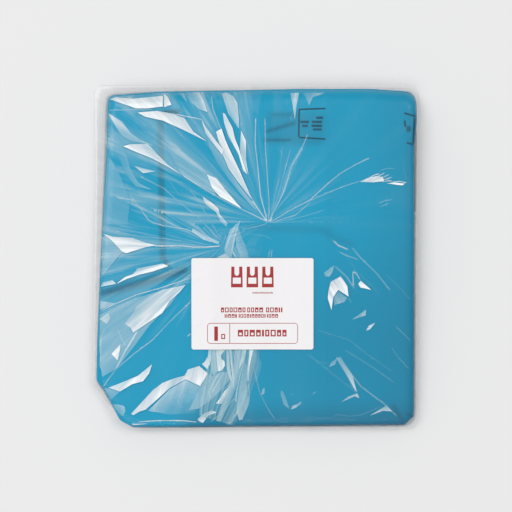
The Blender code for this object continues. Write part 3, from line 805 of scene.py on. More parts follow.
def smooth_faces(piece, angle):
    """Shades a piece smooth, with sharp edges past an angle in degrees."""
    piece.data.shade_smooth()
    piece.data.set_sharp_from_angle(angle=math.radians(angle))


def finish_piece(piece, node, slot, *materials):
    """Gives a piece its materials, attaches it to the root body and hides the CAD part that it stands for."""
    for material in materials:
        piece.data.materials.append(material)
    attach(piece, "root")
    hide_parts(node)
    return piece


# Geometry Nodes


def set_input(tree, socket, value):
    """Links a node's output to the socket, or sets the socket to a plain value."""
    if isinstance(value, bpy.types.NodeSocket):
        tree.links.new(value, socket)
    else:
        socket.default_value = value


def add(tree, kind, inputs=None, **settings):
    """A new node. inputs are by name or number, and each is an output or a plain value."""
    node = tree.nodes.new(kind)
    for key, value in settings.items():
        setattr(node, key, value)
    for key, value in (inputs or {}).items():
        set_input(tree, node.inputs[key], value)
    return node


class Nodes:
    """A Geometry Nodes tree that is written as calls. Each call adds a node and returns its first output."""

    def __init__(self, name, **sockets):
        self.tree = bpy.data.node_groups.new(name, "GeometryNodeTree")
        self.tree.interface.new_socket("Geometry", in_out="INPUT", socket_type="NodeSocketGeometry")
        self.tree.interface.new_socket("Geometry", in_out="OUTPUT", socket_type="NodeSocketGeometry")
        for socket, kind in sockets.items():
            self.tree.interface.new_socket(socket, in_out="INPUT", socket_type="NodeSocket" + kind)
        self.given = self.tree.nodes.new("NodeGroupInput").outputs
        self.result = self.tree.nodes.new("NodeGroupOutput").inputs[0]

    def node(self, kind, inputs, **settings):
        return add(self.tree, kind, inputs, **settings).outputs

    def geometry(self, kind, inputs, **settings):
        return self.node("GeometryNode" + kind, inputs, **settings)[0]

    def maths(self, operation, *values):
        return self.node("ShaderNodeMath", dict(enumerate(values)), operation=operation)[0]

    def random(self, low, high, seed):
        return self.node("FunctionNodeRandomValue", {2: low, 3: high, 8: seed})[1]

    def vector(self, x=0.0, y=0.0, z=0.0):
        return self.node("ShaderNodeCombineXYZ", {0: x, 1: y, 2: z})[0]

    def parts(self, vector):
        return self.node("ShaderNodeSeparateXYZ", {0: vector})

    def named(self, name):
        return self.node("GeometryNodeInputNamedAttribute", {"Name": name})[0]

    def stored(self, geometry, name, value, kind="FLOAT"):
        """The geometry with a value on each of its points."""
        return self.geometry("StoreNamedAttribute", {0: geometry, "Name": name, "Value": value},
                             data_type=kind, domain="POINT")

    def finish(self, geometry):
        solid = self.geometry("RealizeInstances", {0: geometry})
        painted = self.geometry("SetMaterial", {0: solid, 2: self.given["Material"]})
        self.tree.links.new(painted, self.result)
        return self.tree


def made_by(source, tree, values):
    """The mesh that a tree makes from an object, as a new object. The source is removed."""
    modifier = source.modifiers.new("made_by", "NODES")
    modifier.node_group = tree
    for item in tree.interface.items_tree:
        if item.in_out == "INPUT" and item.name in values:
            modifier[item.identifier] = values[item.name]
    graph = bpy.context.evaluated_depsgraph_get()
    mesh = bpy.data.meshes.new_from_object(source.evaluated_get(graph))
    mesh.materials.clear()
    name = source.name
    bpy.data.objects.remove(source)
    mesh.name = name
    piece = bpy.data.objects.new(name, mesh)
    bpy.context.scene.collection.objects.link(piece)
    return piece


def layer_tree():
    """Stacks Count thin flat rings above Base, each a little off from the next."""
    n = Nodes("layers", Base="Float", Count="Int", Seed="Int", Material="Material")
    share = n.maths("DIVIDE", 1.0, n.given["Count"])
    sheet = n.node("GeometryNodeExtrudeMesh", {0: n.given["Geometry"], 2: n.vector(z=1.0),
                                               3: n.maths("MULTIPLY", share, LAYER_FILL), 4: False})[0]
    lower = n.geometry("FlipFaces", {0: n.given["Geometry"]})
    both = add(n.tree, "GeometryNodeJoinGeometry", {0: sheet})
    n.tree.links.new(lower, both.inputs[0])
    slab = n.geometry("MergeByDistance", {0: both.outputs[0], 2: 1e-6})
    line = n.geometry("MeshLine", {0: n.given["Count"], 3: n.vector(z=share)})
    size = n.random(LEAST_LAYER, 1.0, n.given["Seed"])
    copies = n.geometry("InstanceOnPoints", {0: line, 2: slab, 6: n.vector(size, size, 1.0)})
    slip = n.vector(*(n.random(-LAYER_SLIP * MM, LAYER_SLIP * MM, seed) for seed in (5, 6)))
    moved = n.geometry("TranslateInstances", {0: copies, 2: slip})
    solid = n.geometry("RealizeInstances", {0: moved})
    x, y, z = n.parts(n.node("GeometryNodeInputPosition", {})[0])
    height = n.maths("MULTIPLY_ADD", z, n.named("room"), n.given["Base"])
    placed = n.geometry("SetPosition", {0: solid, 2: n.vector(x, y, height)})
    return n.finish(placed)


def pleat_tree():
    """Sweeps a band with Pleats pleats along a line of points. The points' width sets its half width."""
    n = Nodes("pleats", Pleats="Int", Height="Float", Seed="Int", Material="Material")
    # The profile's points run forth over the pleats and back underneath, and share goes from 0 to 1 and back.
    index = n.node("GeometryNodeInputIndex", {})[0]
    total = n.maths("MULTIPLY", n.given["Pleats"], 4)
    half = n.maths("MULTIPLY", n.given["Pleats"], 2)
    upper = n.maths("LESS_THAN", index, half)
    forth = n.maths("DIVIDE", index, n.maths("SUBTRACT", half, 1))
    back = n.maths("SUBTRACT", forth, n.maths("DIVIDE", half, n.maths("SUBTRACT", half, 1)))
    share = n.node("GeometryNodeSwitch", {0: upper, 1: n.maths("SUBTRACT", 1.0, back), 2: forth},
                   input_type="FLOAT")[0]
    # Every second point of the top is raised, by chance more or less. The two outer ones stay in place.
    inner = n.maths("MULTIPLY", n.maths("GREATER_THAN", share, 0.02), n.maths("LESS_THAN", share, 0.98))
    jitter = n.maths("MULTIPLY", n.random(-0.019, 0.019, n.given["Seed"]), inner)
    across = n.maths("MULTIPLY_ADD", n.maths("ADD", share, jitter), 2, -1)
    odd = n.maths("MODULO", index, 2)
    raised = n.maths("MULTIPLY", n.maths("MULTIPLY", odd, n.random(0.35, 1.0, 4)), n.given["Height"])
    lift = n.maths("MULTIPLY_ADD", raised, inner, n.maths("MULTIPLY", n.given["Height"], 0.3))
    z = n.maths("MULTIPLY", lift, upper)
    line = n.geometry("MeshLine", {0: total})
    haze = n.maths("POWER", n.random(0.0, 1.0, 11), 2.2)
    marked = n.stored(line, "haze", n.maths("MULTIPLY_ADD", haze, 0.37, 0.04))
    marked = n.stored(marked, "across", across)
    drawn = n.geometry("SetPosition", {0: marked, 2: n.vector(across, z, 0.0)})
    profile = n.geometry("SetSplineCyclic", {0: n.geometry("MeshToCurve", {0: drawn}), 2: True})
    spine = n.geometry("CurveSplineType", {0: n.geometry("MeshToCurve", {0: n.given["Geometry"]})},
                       spline_type="CATMULL_ROM")
    spine = n.geometry("ResampleCurve", {0: spine, 3: 0.003}, mode="LENGTH")
    spine = n.geometry("SetCurveNormal", {0: spine}, mode="Z_UP")
    spine = n.stored(spine, "along", n.node("GeometryNodeSplineParameter", {})[1])
    band = n.geometry("CurveToMesh", {0: spine, 1: profile, 2: n.named("width"), 3: True})
    # Noise moves the pleats sideways, so that they wander and cross.
    place = n.vector(n.maths("MULTIPLY", n.named("across"), 3.0), n.maths("MULTIPLY", n.named("along"), 7.0))
    shift = n.node("ShaderNodeTexNoise", {"Vector": place, "Scale": 1.0, "Detail": 2.0})[0]
    wander = n.maths("MULTIPLY", n.maths("SUBTRACT", shift, 0.5), n.maths("MULTIPLY", n.named("width"), 0.75))
    band = n.geometry("SetPosition", {0: band, 3: n.vector(wander, 0.0, 0.0)})
    across, along = n.named("across"), n.named("along")
    fan = n.vector(n.maths("MULTIPLY", across, 9.0), n.maths("MULTIPLY", along, 1.6), 0.5)
    return n.finish(n.stored(band, "fan", fan, "FLOAT_VECTOR"))


# Materials


def new_material(name, roughness, specular=0.5):
    """(material, its node tree, its Principled BSDF)."""
    material = bpy.data.materials.new(name)
    material.use_nodes = True
    shader = material.node_tree.nodes["Principled BSDF"]
    shader.inputs["Roughness"].default_value = roughness
    shader.inputs["Specular IOR Level"].default_value = specular
    return material, material.node_tree, shader


def maths(tree, operation, *values):
    """A Math node's output. The values are outputs or numbers."""
    return add(tree, "ShaderNodeMath", dict(enumerate(values)), operation=operation).outputs[0]


def soft_step(tree, value, low, high, start=0.0, end=1.0):
    """A smooth step from start to end, while the value goes from low to high."""
    inputs = {"Value": value, "From Min": low, "From Max": high, "To Min": start, "To Max": end}
    return add(tree, "ShaderNodeMapRange", inputs, interpolation_type="SMOOTHSTEP").outputs[0]


def full_colour(value):
    """An output as it is, or red, green and blue with an alpha of 1."""
    return value if isinstance(value, bpy.types.NodeSocket) else (*value, 1)


def blended(tree, share, a, b):
    """The mix of two colours, which are outputs or values."""
    inputs = {0: share, 6: full_colour(a), 7: full_colour(b)}
    return add(tree, "ShaderNodeMix", inputs, data_type="RGBA").outputs[2]


def object_place(tree):
    """Object coordinates."""
    return add(tree, "ShaderNodeTexCoord").outputs["Object"]


def grained(tree, scale, detail=3.0):
    """Noise on Object coordinates."""
    inputs = {"Vector": object_place(tree), "Scale": scale, "Detail": detail}
    return add(tree, "ShaderNodeTexNoise", inputs).outputs["Fac"]


def stored_value(tree, name, kind="Fac"):
    """What the mesh stores under a name."""
    return add(tree, "ShaderNodeAttribute", attribute_name=name).outputs[kind]


def bumped(tree, height, distance, shader):
    """Gives a shader a bump of a height in metres."""
    bump = add(tree, "ShaderNodeBump", {"Height": height, "Distance": distance})
    tree.links.new(bump.outputs[0], shader.inputs["Normal"])


def mixed_shader(tree, share, a, b):
    """A share of shader b over shader a."""
    return add(tree, "ShaderNodeMixShader", {0: share, 1: a.outputs[0], 2: b.outputs[0]})


def mark_group():
    """A node group: a turned rectangle with soft edges above a lowest height, as a mask."""
    if "soft_mark" in bpy.data.node_groups:
        return bpy.data.node_groups["soft_mark"]
    group = bpy.data.node_groups.new("soft_mark", "ShaderNodeTree")
    for name, kind in (("Place", "Vector"), ("Turn", "Float"), ("Half size", "Vector"), ("Softness", "Float"),
                       ("Strength", "Float"), ("Lowest", "Float")):
        group.interface.new_socket(name, in_out="INPUT", socket_type="NodeSocket" + kind)
    group.interface.new_socket("Mask", in_out="OUTPUT", socket_type="NodeSocketFloat")
    given = group.nodes.new("NodeGroupInput").outputs
    result = group.nodes.new("NodeGroupOutput").inputs
    place = object_place(group)
    away = add(group, "ShaderNodeVectorMath", {0: place, 1: given["Place"]}, operation="SUBTRACT").outputs[0]
    turned = add(group, "ShaderNodeVectorRotate", {"Vector": away, "Angle": given["Turn"]},
                 rotation_type="Z_AXIS", invert=True).outputs[0]
    size = add(group, "ShaderNodeVectorMath", {0: turned}, operation="ABSOLUTE").outputs[0]
    past = add(group, "ShaderNodeVectorMath", {0: size, 1: given["Half size"]}, operation="SUBTRACT")
    past_side, past_end, _ = add(group, "ShaderNodeSeparateXYZ", {0: past.outputs[0]}).outputs
    inner = maths(group, "MULTIPLY", given["Softness"], -1.0)
    sides = [soft_step(group, value, inner, given["Softness"], 1.0, 0.0) for value in (past_side, past_end)]
    height = add(group, "ShaderNodeSeparateXYZ", {0: place}).outputs[2]
    upper = maths(group, "GREATER_THAN", height, given["Lowest"])
    both = maths(group, "MULTIPLY", maths(group, "MULTIPLY", *sides), upper)
    group.links.new(maths(group, "MULTIPLY", both, given["Strength"]), result["Mask"])
    return group


def soft_mark(tree, mark, lowest):
    """The mask of one soft mark that ends at a lowest height, from its row in MARKS or SHADES."""
    place, half, turn, softness, strength = mark
    inputs = {
        "Place": (place[0] * MM, place[1] * MM, 0), "Half size": (half[0] * MM, half[1] * MM, 0),
        "Turn": math.radians(turn), "Softness": softness * MM, "Strength": strength, "Lowest": lowest * MM,
    }
    return add(tree, "ShaderNodeGroup", inputs, node_tree=mark_group()).outputs[0]


def blue_plastic(settings):
    """Thin blue polythene in layers, with the print, the smudges of deeper print and painted shade."""
    material, tree, shader = new_material("blue_plastic", 0.42, 0.22)
    masks = 0.0
    for mark in MARKS:
        masks = maths(tree, "MAXIMUM", masks, soft_mark(tree, mark, PRINT_LOWEST))
    # Painted shade: each SHADES mark darkens the blue towards shade_colour.
    shade = 1.0
    for mark in SHADES:
        kept = maths(tree, "SUBTRACT", 1.0, soft_mark(tree, mark, SHADE_LOWEST))
        shade = maths(tree, "MULTIPLY", shade, kept)
    plain = blended(tree, grained(tree, scale=9, detail=2.0), settings.blue, settings.blue_deep)
    printed = blended(tree, masks, plain, settings.print_ink)
    tree.links.new(blended(tree, shade, settings.shade_colour, printed), shader.inputs["Base Color"])
    bumped(tree, grained(tree, scale=220, detail=4.0), 0.12 * MM, shader)
    return material


def film_whiteness(tree, haze, loose):
    """How white the film is: its haze with fine streaks, partly painted highlight, or the painted sheen in
    soft bands round the gathers.

    fan holds the turn round a gather, the distance from it and the strength of the painted sheen.
    """
    fan = stored_value(tree, "fan", "Vector")
    field = add(tree, "ShaderNodeSeparateXYZ", {0: fan}).outputs[2]
    fine = add(tree, "ShaderNodeTexNoise", {"Vector": fan, "Scale": 1.0, "Detail": 5.0, "Roughness": 0.6},
               noise_dimensions="2D").outputs["Fac"]
    broad = add(tree, "ShaderNodeTexNoise", {"Vector": fan, "Scale": 0.42, "Detail": 1.5},
                noise_dimensions="2D").outputs["Fac"]
    streak = soft_step(tree, fine, 0.46, 0.72)
    band = soft_step(tree, broad, 0.46, 0.7)
    veil = maths(tree, "MULTIPLY_ADD", band, 0.32, maths(tree, "MULTIPLY", streak, 0.38))
    contrast = maths(tree, "MULTIPLY_ADD", loose, -1.1, 1.5)
    uneven = maths(tree, "MULTIPLY_ADD", maths(tree, "SUBTRACT", fine, 0.5), contrast, 1.1)
    creased = maths(tree, "MULTIPLY", maths(tree, "POWER", haze, 1.5), 1.5)
    folded = maths(tree, "MULTIPLY", creased, uneven)
    return maths(tree, "MAXIMUM", folded, maths(tree, "MULTIPLY", veil, field))


def clear_plastic(settings):
    """Clear film: it mirrors a little, more at a slant, and whitens where it is creased or doubled, with
    painted highlights on its facets and creases, painted sheen round the gathers and a painted shadow in the
    gap by the bags' right side.
    """
    material, tree, shader = new_material("clear_plastic", 0.3)
    loose = stored_value(tree, "loose")
    share = film_whiteness(tree, stored_value(tree, "haze"), loose)
    share = maths(tree, "ADD", share, settings.film_haze)
    whitened = maths(tree, "MULTIPLY_ADD", share, 1.7, -0.35)
    white = blended(tree, whitened, settings.thin_haze_and_sheen, settings.haze_and_highlight_colour)
    white = blended(tree, loose, white, settings.margin_colour)
    # Painted shadow: a dark, opaque strip on the film in the gap by the bags' right side.
    gap = soft_mark(tree, FILM_SHADOW, 0)
    tree.links.new(blended(tree, gap, white, settings.gap_shadow_colour), shader.inputs["Base Color"])
    open_part = add(tree, "ShaderNodeBsdfTransparent", {"Color": (0.98, 0.981, 0.983, 1)})
    cloudy = mixed_shader(tree, maths(tree, "MAXIMUM", share, gap), open_part, shader)
    gloss = add(tree, "ShaderNodeBsdfGlossy", {"Roughness": 0.08})
    slant = add(tree, "ShaderNodeLayerWeight").outputs["Facing"]
    mirrored = maths(tree, "MULTIPLY_ADD", maths(tree, "POWER", slant, 4.0), 0.28, settings.film_gloss)
    surface = mixed_shader(tree, mirrored, cloudy, gloss)
    tree.links.new(surface.outputs[0], tree.nodes["Material Output"].inputs["Surface"])
    bumped(tree, grained(tree, scale=140), 0.06 * MM, gloss)
    return material


def label_paper(settings):
    """White paper with a faint grain."""
    material, tree, shader = new_material("label_paper", 0.5)
    colour = blended(tree, grained(tree, scale=300), settings.paper, [c * 0.965 for c in settings.paper])
    tree.links.new(colour, shader.inputs["Base Color"])
    bumped(tree, grained(tree, scale=900, detail=2.0), 0.02 * MM, shader)
    return material


def label_ink(settings):
    """Red print, a little uneven."""
    material, tree, shader = new_material("label_ink", 0.4)
    colour = blended(tree, grained(tree, scale=500), settings.red, [c * 0.8 for c in settings.red])
    tree.links.new(colour, shader.inputs["Base Color"])
    return material


# Pieces


class PackSettings(bpy.types.PropertyGroup):
    """Colours and film values that a user would change."""

    blue: bpy.props.FloatVectorProperty(
        name="Blue", description="Colour of the bags", subtype="COLOR", size=3, min=0, max=1,
        default=(0.004, 0.352, 0.575))
    blue_deep: bpy.props.FloatVectorProperty(
        name="Deep blue", description="Colour of the bags where their layers lie close", subtype="COLOR",
        size=3, min=0, max=1, default=(0.007, 0.33, 0.53))
    # Painted shade: the colour that the SHADES marks darken the bags towards.
    shade_colour: bpy.props.FloatVectorProperty(
        name="Shade", description="Colour of the bags in the shade of a fold", subtype="COLOR", size=3,
        min=0, max=1, default=(0.02, 0.085, 0.16))
    print_ink: bpy.props.FloatVectorProperty(
        name="Print", description="Dark print on the bags", subtype="COLOR", size=3, min=0, max=1,
        default=(0.005, 0.045, 0.065))
    red: bpy.props.FloatVectorProperty(
        name="Red", description="Red print on the label", subtype="COLOR", size=3, min=0, max=1,
        default=(0.42, 0.012, 0.014))
    paper: bpy.props.FloatVectorProperty(
        name="Paper", description="Colour of the label paper", subtype="COLOR", size=3, min=0, max=1,
        default=(0.9, 0.885, 0.9))
    # Colour of strong haze and of the painted highlights on the facets and creases.
    haze_and_highlight_colour: bpy.props.FloatVectorProperty(
        name="Haze", description="Colour of strongly creased film", subtype="COLOR", size=3, min=0, max=1,
        default=(0.9, 0.955, 0.98))
    # Colour of slight haze and of the faint painted sheen round the gathers.
    thin_haze_and_sheen: bpy.props.FloatVectorProperty(
        name="Thin haze", description="Colour of slightly creased film", subtype="COLOR", size=3,
        min=0, max=1, default=(0.56, 0.9, 0.98))
    margin_colour: bpy.props.FloatVectorProperty(
        name="Film edge", description="Colour of the loose film round the bags", subtype="COLOR", size=3,
        min=0, max=1, default=(0.93, 0.935, 0.94))
    # Painted shadow: the dark colour of the gap between the film and the bags' right side.
    gap_shadow_colour: bpy.props.FloatVectorProperty(
        name="Gap", description="Colour of the dark gap between the film and the bags' right side",
        subtype="COLOR", size=3, min=0, max=1, default=(0.05, 0.055, 0.06))
    film_haze: bpy.props.FloatProperty(
        name="Film haze", description="Whiteness of smooth film", subtype="FACTOR", min=0, max=1, default=0.0)
    film_gloss: bpy.props.FloatProperty(
        name="Film gloss", description="Share that the film mirrors head on", subtype="FACTOR", min=0, max=1,
        default=0.007)
    floor: bpy.props.FloatVectorProperty(
        name="Floor", description="Colour of the floor", subtype="COLOR", size=3, min=0, max=1,
        default=(0.845, 0.845, 0.845))
    label_corner: bpy.props.FloatProperty(
        name="Label corner", description="Corner radius of the label", subtype="DISTANCE", unit="LENGTH",
        min=0, default=1.6 * MM)


class PACK_OT_bags(bpy.types.Operator):
    """Adds the folded bags"""

    bl_idname = "pack.bags"
    bl_label = "Folded bags"

    def execute(self, context):
        settings = context.scene.pack_settings
        blue = blue_plastic(settings)
        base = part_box("bag_stack")[0].z / MM
        outline = inset_ring(BAG_OUTLINE, 0.5)
        rings = [inset_ring(BAG_OUTLINE, depth) for depth in RIM_DEPTHS]
        grid = grid_inside(BAG_OUTLINE, step=4.5, margin=10, seed=5)
        loose = clear_of(grid, [(ring, True) for ring in rings], gap=1)
        plan, faces = triangulated(outline, [], np.vstack([*rings, loose]))
        under_plan, under_faces, under = self.underside(outline, base)
        piece = walled_body("folded_bags", plan, faces, bag_height(plan), under_plan, under_faces, under,
                            len(outline))
        smooth_faces(piece, angle=50)
        finish_piece(piece, "bag_stack", "blue_film", blue)
        finish_piece(self.layers(base), "bag_stack", "blue_film", blue)
        return {"FINISHED"}

    def underside(self, outline, base):
        """(plan, faces, heights) under the bags, with the recess between the handles and their end fold."""
        recess = rounded_plan(HANDLE_RECESS, step=4)
        ends = rounded_plan(HANDLE_ENDS, step=4)
        lines = [(shape, True) for shape in (recess, inset_ring(recess, 1.2), ends)]
        grid = clear_of(grid_inside(BAG_OUTLINE, step=12, margin=4, seed=6), lines, gap=2)
        plan, faces = triangulated(outline, lines, grid)
        to_recess = nearest_on(recess, plan, True)[0]
        height = base + RECESS_DEPTH * smooth(to_recess / 1.2) * inside(recess, plan)
        to_ends = nearest_on(ends, plan, True)[0]
        height += HANDLE_END_DEPTH * smooth(1.5 - to_ends) * (np.abs(plan[:, 0]) > HANDLE_START_X)
        height[:len(outline)] = base
        return plan, faces, height

    def layers(self, base):
        """The edges of the sheets that make up the stack, one flat ring for each layer."""
        count = len(BAG_OUTLINE)
        points = np.vstack([BAG_OUTLINE, inset_ring(BAG_OUTLINE, 5)])
        faces = []
        for i in range(count):
            j = (i + 1) % count
            faces.append((i, i + count, j + count, j))
        ring = new_piece("bag_layers", np.column_stack([points, np.zeros(2 * count)]), faces)
        edge = np.vstack([BAG_OUTLINE, BAG_OUTLINE])
        room = face_height(edge) - rim_drop(np.full(len(edge), 0.4), edge[:, 1]) - base
        ring.data.attributes.new("room", "FLOAT", "POINT").data.foreach_set("value", room * MM)
        return made_by(ring, layer_tree(), {"Base": base * MM, "Count": LAYERS, "Seed": 3})


class PACK_OT_wrap(bpy.types.Operator):
    """Adds the clear film with its folds"""

    bl_idname = "pack.wrap"
    bl_label = "Clear film"

    def execute(self, context):
        lines, loose = self.fold_lines()
        nearest = nearest_on(BAG_OUTLINE, FILM_OUTLINE, True)[1]
        sides = [nearest + (FILM_OUTLINE - nearest) * share for share in FILM_WALL_SHARES]
        sides += [inset_ring(BAG_OUTLINE, depth) for depth in FILM_RIM_DEPTHS]
        sides = clear_of(np.vstack(sides), lines, gap=0.5)
        grid = clear_of(grid_inside(BAG_OUTLINE, step=2.8, margin=10, seed=4), lines, gap=1.1)
        plan, faces = triangulated(FILM_OUTLINE, lines, np.vstack([sides, loose, grid]))
        rim = len(FILM_OUTLINE)
        top = film_base(plan) + film_folds(plan) * inside(BAG_OUTLINE, plan)
        top[:rim] = FILM_EDGE_HEIGHT
        under_grid = grid_inside(FILM_OUTLINE, step=6, margin=3, seed=8)
        under_plan, under_faces = triangulated(FILM_OUTLINE, [], under_grid)
        to_edge = nearest_on(FILM_OUTLINE, under_plan, True)[0]
        under = FILM_UNDERSIDE + (FILM_EDGE_HEIGHT - FILM_UNDERSIDE) * clamp(1 - to_edge / 6.5) ** 1.5
        piece = closed_shell("clear_film_wrap", plan, faces, top, under_plan, under_faces, under, rim)
        write_looks(piece, plan, len(faces))
        smooth_faces(piece, angle=12)
        clear = clear_plastic(context.scene.pack_settings)
        finish_piece(piece, "clear_wrap", "clear_film", clear)
        mouth = finish_piece(self.mouth(), "clear_wrap", "clear_film", clear)
        smooth_faces(mouth, angle=60)
        return {"FINISHED"}

    def fold_lines(self):
        """The lines of all facets and creases, and the points at the feet of their slopes."""
        lines = []
        feet = []
        for _, rise, _, _, corners in FACETS:
            edge = subdivided(np.array(corners, float), 3.0, True)
            lines.append((edge, True))
            for side in (-1, 1):
                feet.append(inset_ring(edge, side * rise / FOLD_STEEPNESS))
        for _, half_width, _, points in CREASES:
            edge = subdivided(np.array(points, float), 2.5)
            lines.append((edge, False))
            for side in (-1, 1):
                feet.append(inset_ring(edge, side * half_width * CREASE_WIDTH)[1:-1])
        feet = np.vstack(feet)
        return lines, feet[inside(FILM_OUTLINE, feet)]

    def mouth(self):
        """The gathered mouth: a pleated band that lies on the film, partly under the label."""
        line = np.array(MOUTH)
        places = np.column_stack([line[:, :2], np.full(len(line), 0.5)])
        edges = [(i, i + 1) for i in range(len(line) - 1)]
        mesh = bpy.data.meshes.new("film_mouth")
        mesh.from_pydata([tuple(p * MM) for p in places], edges, [])
        mesh.attributes.new("width", "FLOAT", "POINT").data.foreach_set("value", line[:, 2] * MM)
        spine = bpy.data.objects.new("film_mouth", mesh)
        bpy.context.scene.collection.objects.link(spine)
        mouth = made_by(spine, pleat_tree(), {"Pleats": PLEATS, "Height": PLEAT_HEIGHT, "Seed": 2})
        places = np.zeros(len(mouth.data.vertices) * 3)
        mouth.data.vertices.foreach_get("co", places)
        places = places.reshape(-1, 3)
        places[:, 2] += film_base(places[:, :2] / MM) * MM
        mouth.data.vertices.foreach_set("co", places.ravel())
        return mouth


def write_looks(piece, plan, upper_faces):
    """Writes each face corner's haze, partly painted highlight, its looseness and its place in the fan, with
    the painted sheen, that its material reads.
    """
    mesh = piece.data
    corner_points = np.zeros(len(mesh.loops), int)
    mesh.loops.foreach_get("vertex_index", corner_points)
    upper = corner_points < len(plan)
    plan_point = np.where(upper, corner_points, 0)
    places = plan[plan_point]
    middles = np.zeros(len(mesh.polygons) * 3)
    mesh.polygons.foreach_get("center", middles)
    middles = middles.reshape(-1, 3)[:, :2] / MM
    face_of = np.repeat(np.arange(len(mesh.polygons)), 3)
    haze = np.where(upper, crease_haze_and_highlight(plan)[plan_point], 0)
    for facet in FACETS:
        within = facet_rise(facet, middles)[2][face_of]
        spots = np.flatnonzero(within & upper & (face_of < upper_faces))
        haze[spots] = np.maximum(haze[spots], facet_rise(facet, places[spots])[1])
    fan = fan_of(middles[face_of], np.where(upper[:, None], places, FAR_AWAY))
    write_corners(mesh, "haze", haze)
    write_corners(mesh, "loose", looseness(plan)[plan_point])
    write_corners(mesh, "fan", fan, "FLOAT_VECTOR", "vector")


def write_corners(mesh, name, values, kind="FLOAT", field="value"):
    """Stores a value for each face corner, under a name that a material reads."""
    attribute = mesh.attributes.new(name, kind, "CORNER")
    attribute.data.foreach_set(field, values.ravel().astype(np.float32))


class PACK_OT_label(bpy.types.Operator):
    """Adds the paper label with its print"""

    bl_idname = "pack.label"
    bl_label = "Label"

    def execute(self, context):
        settings = context.scene.pack_settings
        (x0, y0), (x1, y1) = LABEL_LOW, LABEL_HIGH
        corner = settings.label_corner / MM
        rim = rounded_plan([(x0, y1, corner), (x1, y1, corner), (x1, y0, corner), (x0, y0, corner)], 3.0)
        shapes = label_print()
        lines = [(shape, True) for shape in shapes]
        lines += [(subdivided(np.array(points, float), 1.5), False) for points in LABEL_CREASES]
        loose = clear_of(grid_inside(rim, step=2.5, margin=1.5, seed=9), lines, gap=0.4)
        plan, faces = triangulated(rim, lines, loose)
        faces = facing_up(plan, faces)
        top = label_height(plan)
        piece = walled_body("paper_label", plan, faces, top, plan, faces, top - LABEL_THICKNESS, len(rim))
        smooth_faces(piece, angle=35)
        middles = np.array([plan[list(face)].mean(axis=0) for face in faces])
        inked = sum(inside(shape, middles).astype(int) for shape in shapes)
        for polygon, times in zip(piece.data.polygons, inked):
            polygon.material_index = int(times % 2)
        finish_piece(piece, "label", "white_paper", label_paper(settings), label_ink(settings))
        return {"FINISHED"}


def label_height(plan):
    """The label lies over the film, higher over the flattened mouth, with faint creases at its left."""
    over_mouth = smooth((MOUTH_HALF_SPREAD - np.abs(plan[:, 0] - MOUTH_X)) / 14)
    height = face_height(plan) + FILM_GAP + LABEL_GAP + LABEL_OVER_MOUTH * over_mouth
    for points in LABEL_CREASES:
        away = nearest_on(np.array(points, float), plan, False)[0]
        height += LABEL_CREASE_HEIGHT * clamp(1 - away / 1.8)
    return height


def rectangle(x0, x1, y0, y1):
    """The corners of an upright rectangle."""
    return np.array([(x0, y0), (x0, y1), (x1, y1), (x1, y0)], float)


def word(x0, x1, y0, y1, seed):
    """A row of small blocks, some with a hole, that stands for one word of print."""
    rng = random.Random(seed)
    shapes = []
    height = y1 - y0
    x = x0
    while x < x1 - 0.4:
        width = min(height * rng.choice((0.3, 0.62, 0.7, 0.78)), x1 - x)
        shapes.append(rectangle(x, x + width, y0, y1))
        edge = height * 0.2
        if width > 3 * edge:
            shapes.append(rectangle(x + edge, x + width - edge, y0 + edge, y1 - edge * rng.choice((1, 2.2))))
        x += width + height * 0.18
    return shapes


def carrier_bag(x, y, width, height):
    """A plain carrier bag with two handles, as one outline."""
    half = width / 2
    foot, head = y - height / 2, y + height / 2
    outer = half * 0.94
    inner = outer - width * 0.27
    neck = y + height * 0.2
    points = [(x - half, foot), (x - outer, head), (x - inner, head)]
    for step in range(9):
        turn = math.pi * (1 + step / 8)
        points.append((x + inner * math.cos(turn), neck + height * 0.14 * math.sin(turn)))
    points += [(x + inner, head), (x + outer, head), (x + half, foot)]
    return np.array(points)


def framed(inset):
    """The print's frame, moved inwards by inset."""
    left, right, top, bottom, radius, _ = PRINT_FRAME
    places = ((left + inset, top - inset), (right - inset, top - inset),
              (right - inset, bottom + inset), (left + inset, bottom + inset))
    return rounded_plan([(x, y, radius - inset) for x, y in places], 4.0)


def label_print():
    """All shapes printed on the label. A point inside an odd number of them is inked."""
    shapes = []
    for x in BAG_SIGNS:
        shapes.append(carrier_bag(x, -16, 9.6, 17))
        shapes.append(rectangle(x - 3.3, x + 3.3, -21.5, -16.5))
    shapes += word(-3.8, 13, -29.6, -28.4, 1)
    for foot, head, words in WORD_ROWS:
        for start, end in words:
            shapes += word(start, end, foot, head, 2 + len(shapes))
    shapes += [framed(0), framed(PRINT_FRAME[-1])]
    # The line that divides the frame, the tall sign left of it, and the small word and the long one.
    shapes.append(rectangle(-22.6, -22.1, -70.1, -54.4))
    shapes.append(rectangle(-35, -32, -68.4, -56.6))
    shapes += word(-29.3, -26.1, -66.9, -62.7, 40)
    shapes += word(-15.7, 25.6, -64.8, -59.3, 41)
    return shapes


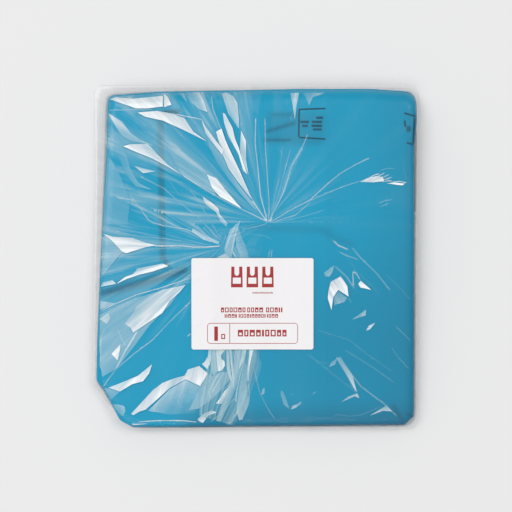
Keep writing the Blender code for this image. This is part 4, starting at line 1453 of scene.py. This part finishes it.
class PACK_OT_stage(bpy.types.Operator):
    """Adds the floor, the studio light and the camera"""

    bl_idname = "pack.stage"
    bl_label = "Studio"

    def execute(self, context):
        settings = context.scene.pack_settings
        bpy.ops.mesh.primitive_plane_add(size=8, location=(0, 0, -0.0002))
        floor = context.object
        floor.name = "floor"
        material, _, shader = new_material("floor_paper", 0.9, 0.0)
        shader.inputs["Base Color"].default_value = (*settings.floor, 1)
        floor.data.materials.append(material)
        world = bpy.data.worlds.new("studio")
        context.scene.world = world
        world.use_nodes = True
        background = world.node_tree.nodes["Background"]
        background.inputs["Color"].default_value = (1, 1, 1, 1)
        background.inputs["Strength"].default_value = WORLD_LIGHT
        for light in LIGHTS:
            softbox(*light)
        camera = bpy.data.objects.new("camera", bpy.data.cameras.new("camera"))
        context.scene.collection.objects.link(camera)
        camera.location = (*CAMERA_SHIFT, CAMERA_HEIGHT)
        camera.data.sensor_width = SENSOR
        camera.data.lens = SENSOR * (CAMERA_HEIGHT - VIEW_WIDTH_AT) / VIEW_WIDTH
        camera.data.clip_end = 50
        context.scene.camera = camera
        context.scene.view_settings.view_transform = "Standard"
        return {"FINISHED"}


def softbox(name, azimuth, from_top, side, watts):
    """A square light that looks at the middle of the pack, from a row of LIGHTS."""
    light = bpy.data.lights.new(name, "AREA")
    light.shape = "SQUARE"
    light.size = side
    light.energy = watts
    holder = bpy.data.objects.new(name, light)
    bpy.context.scene.collection.objects.link(holder)
    turn, tilt = math.radians(azimuth), math.radians(from_top)
    away = Vector((math.cos(turn) * math.sin(tilt), math.sin(turn) * math.sin(tilt), math.cos(tilt)))
    holder.location = away * LIGHT_DISTANCE
    holder.rotation_euler = away.to_track_quat("Z", "Y").to_euler()
    holder.visible_camera = False


class PACK_PT_panel(bpy.types.Panel):
    """Lists the pack's pieces in the sidebar"""

    bl_idname = "PACK_PT_panel"
    bl_label = "Bag pack"
    bl_space_type = "VIEW_3D"
    bl_region_type = "UI"
    bl_category = "Bag pack"

    def draw(self, context):
        for name in PackSettings.__annotations__:
            self.layout.prop(context.scene.pack_settings, name)
        for operator in OPERATORS:
            self.layout.operator(operator.bl_idname)


OPERATORS = (PACK_OT_bags, PACK_OT_wrap, PACK_OT_label, PACK_OT_stage)
CLASSES = (PackSettings, *OPERATORS, PACK_PT_panel)


def register():
    for cls in CLASSES:
        bpy.utils.register_class(cls)
    bpy.types.Scene.pack_settings = bpy.props.PointerProperty(type=PackSettings)


def unregister():
    del bpy.types.Scene.pack_settings
    for cls in reversed(CLASSES):
        bpy.utils.unregister_class(cls)


def main():
    register()
    bpy.ops.pack.bags()
    bpy.ops.pack.wrap()
    bpy.ops.pack.label()
    bpy.ops.pack.stage()


if __name__ == "__main__":
    main()
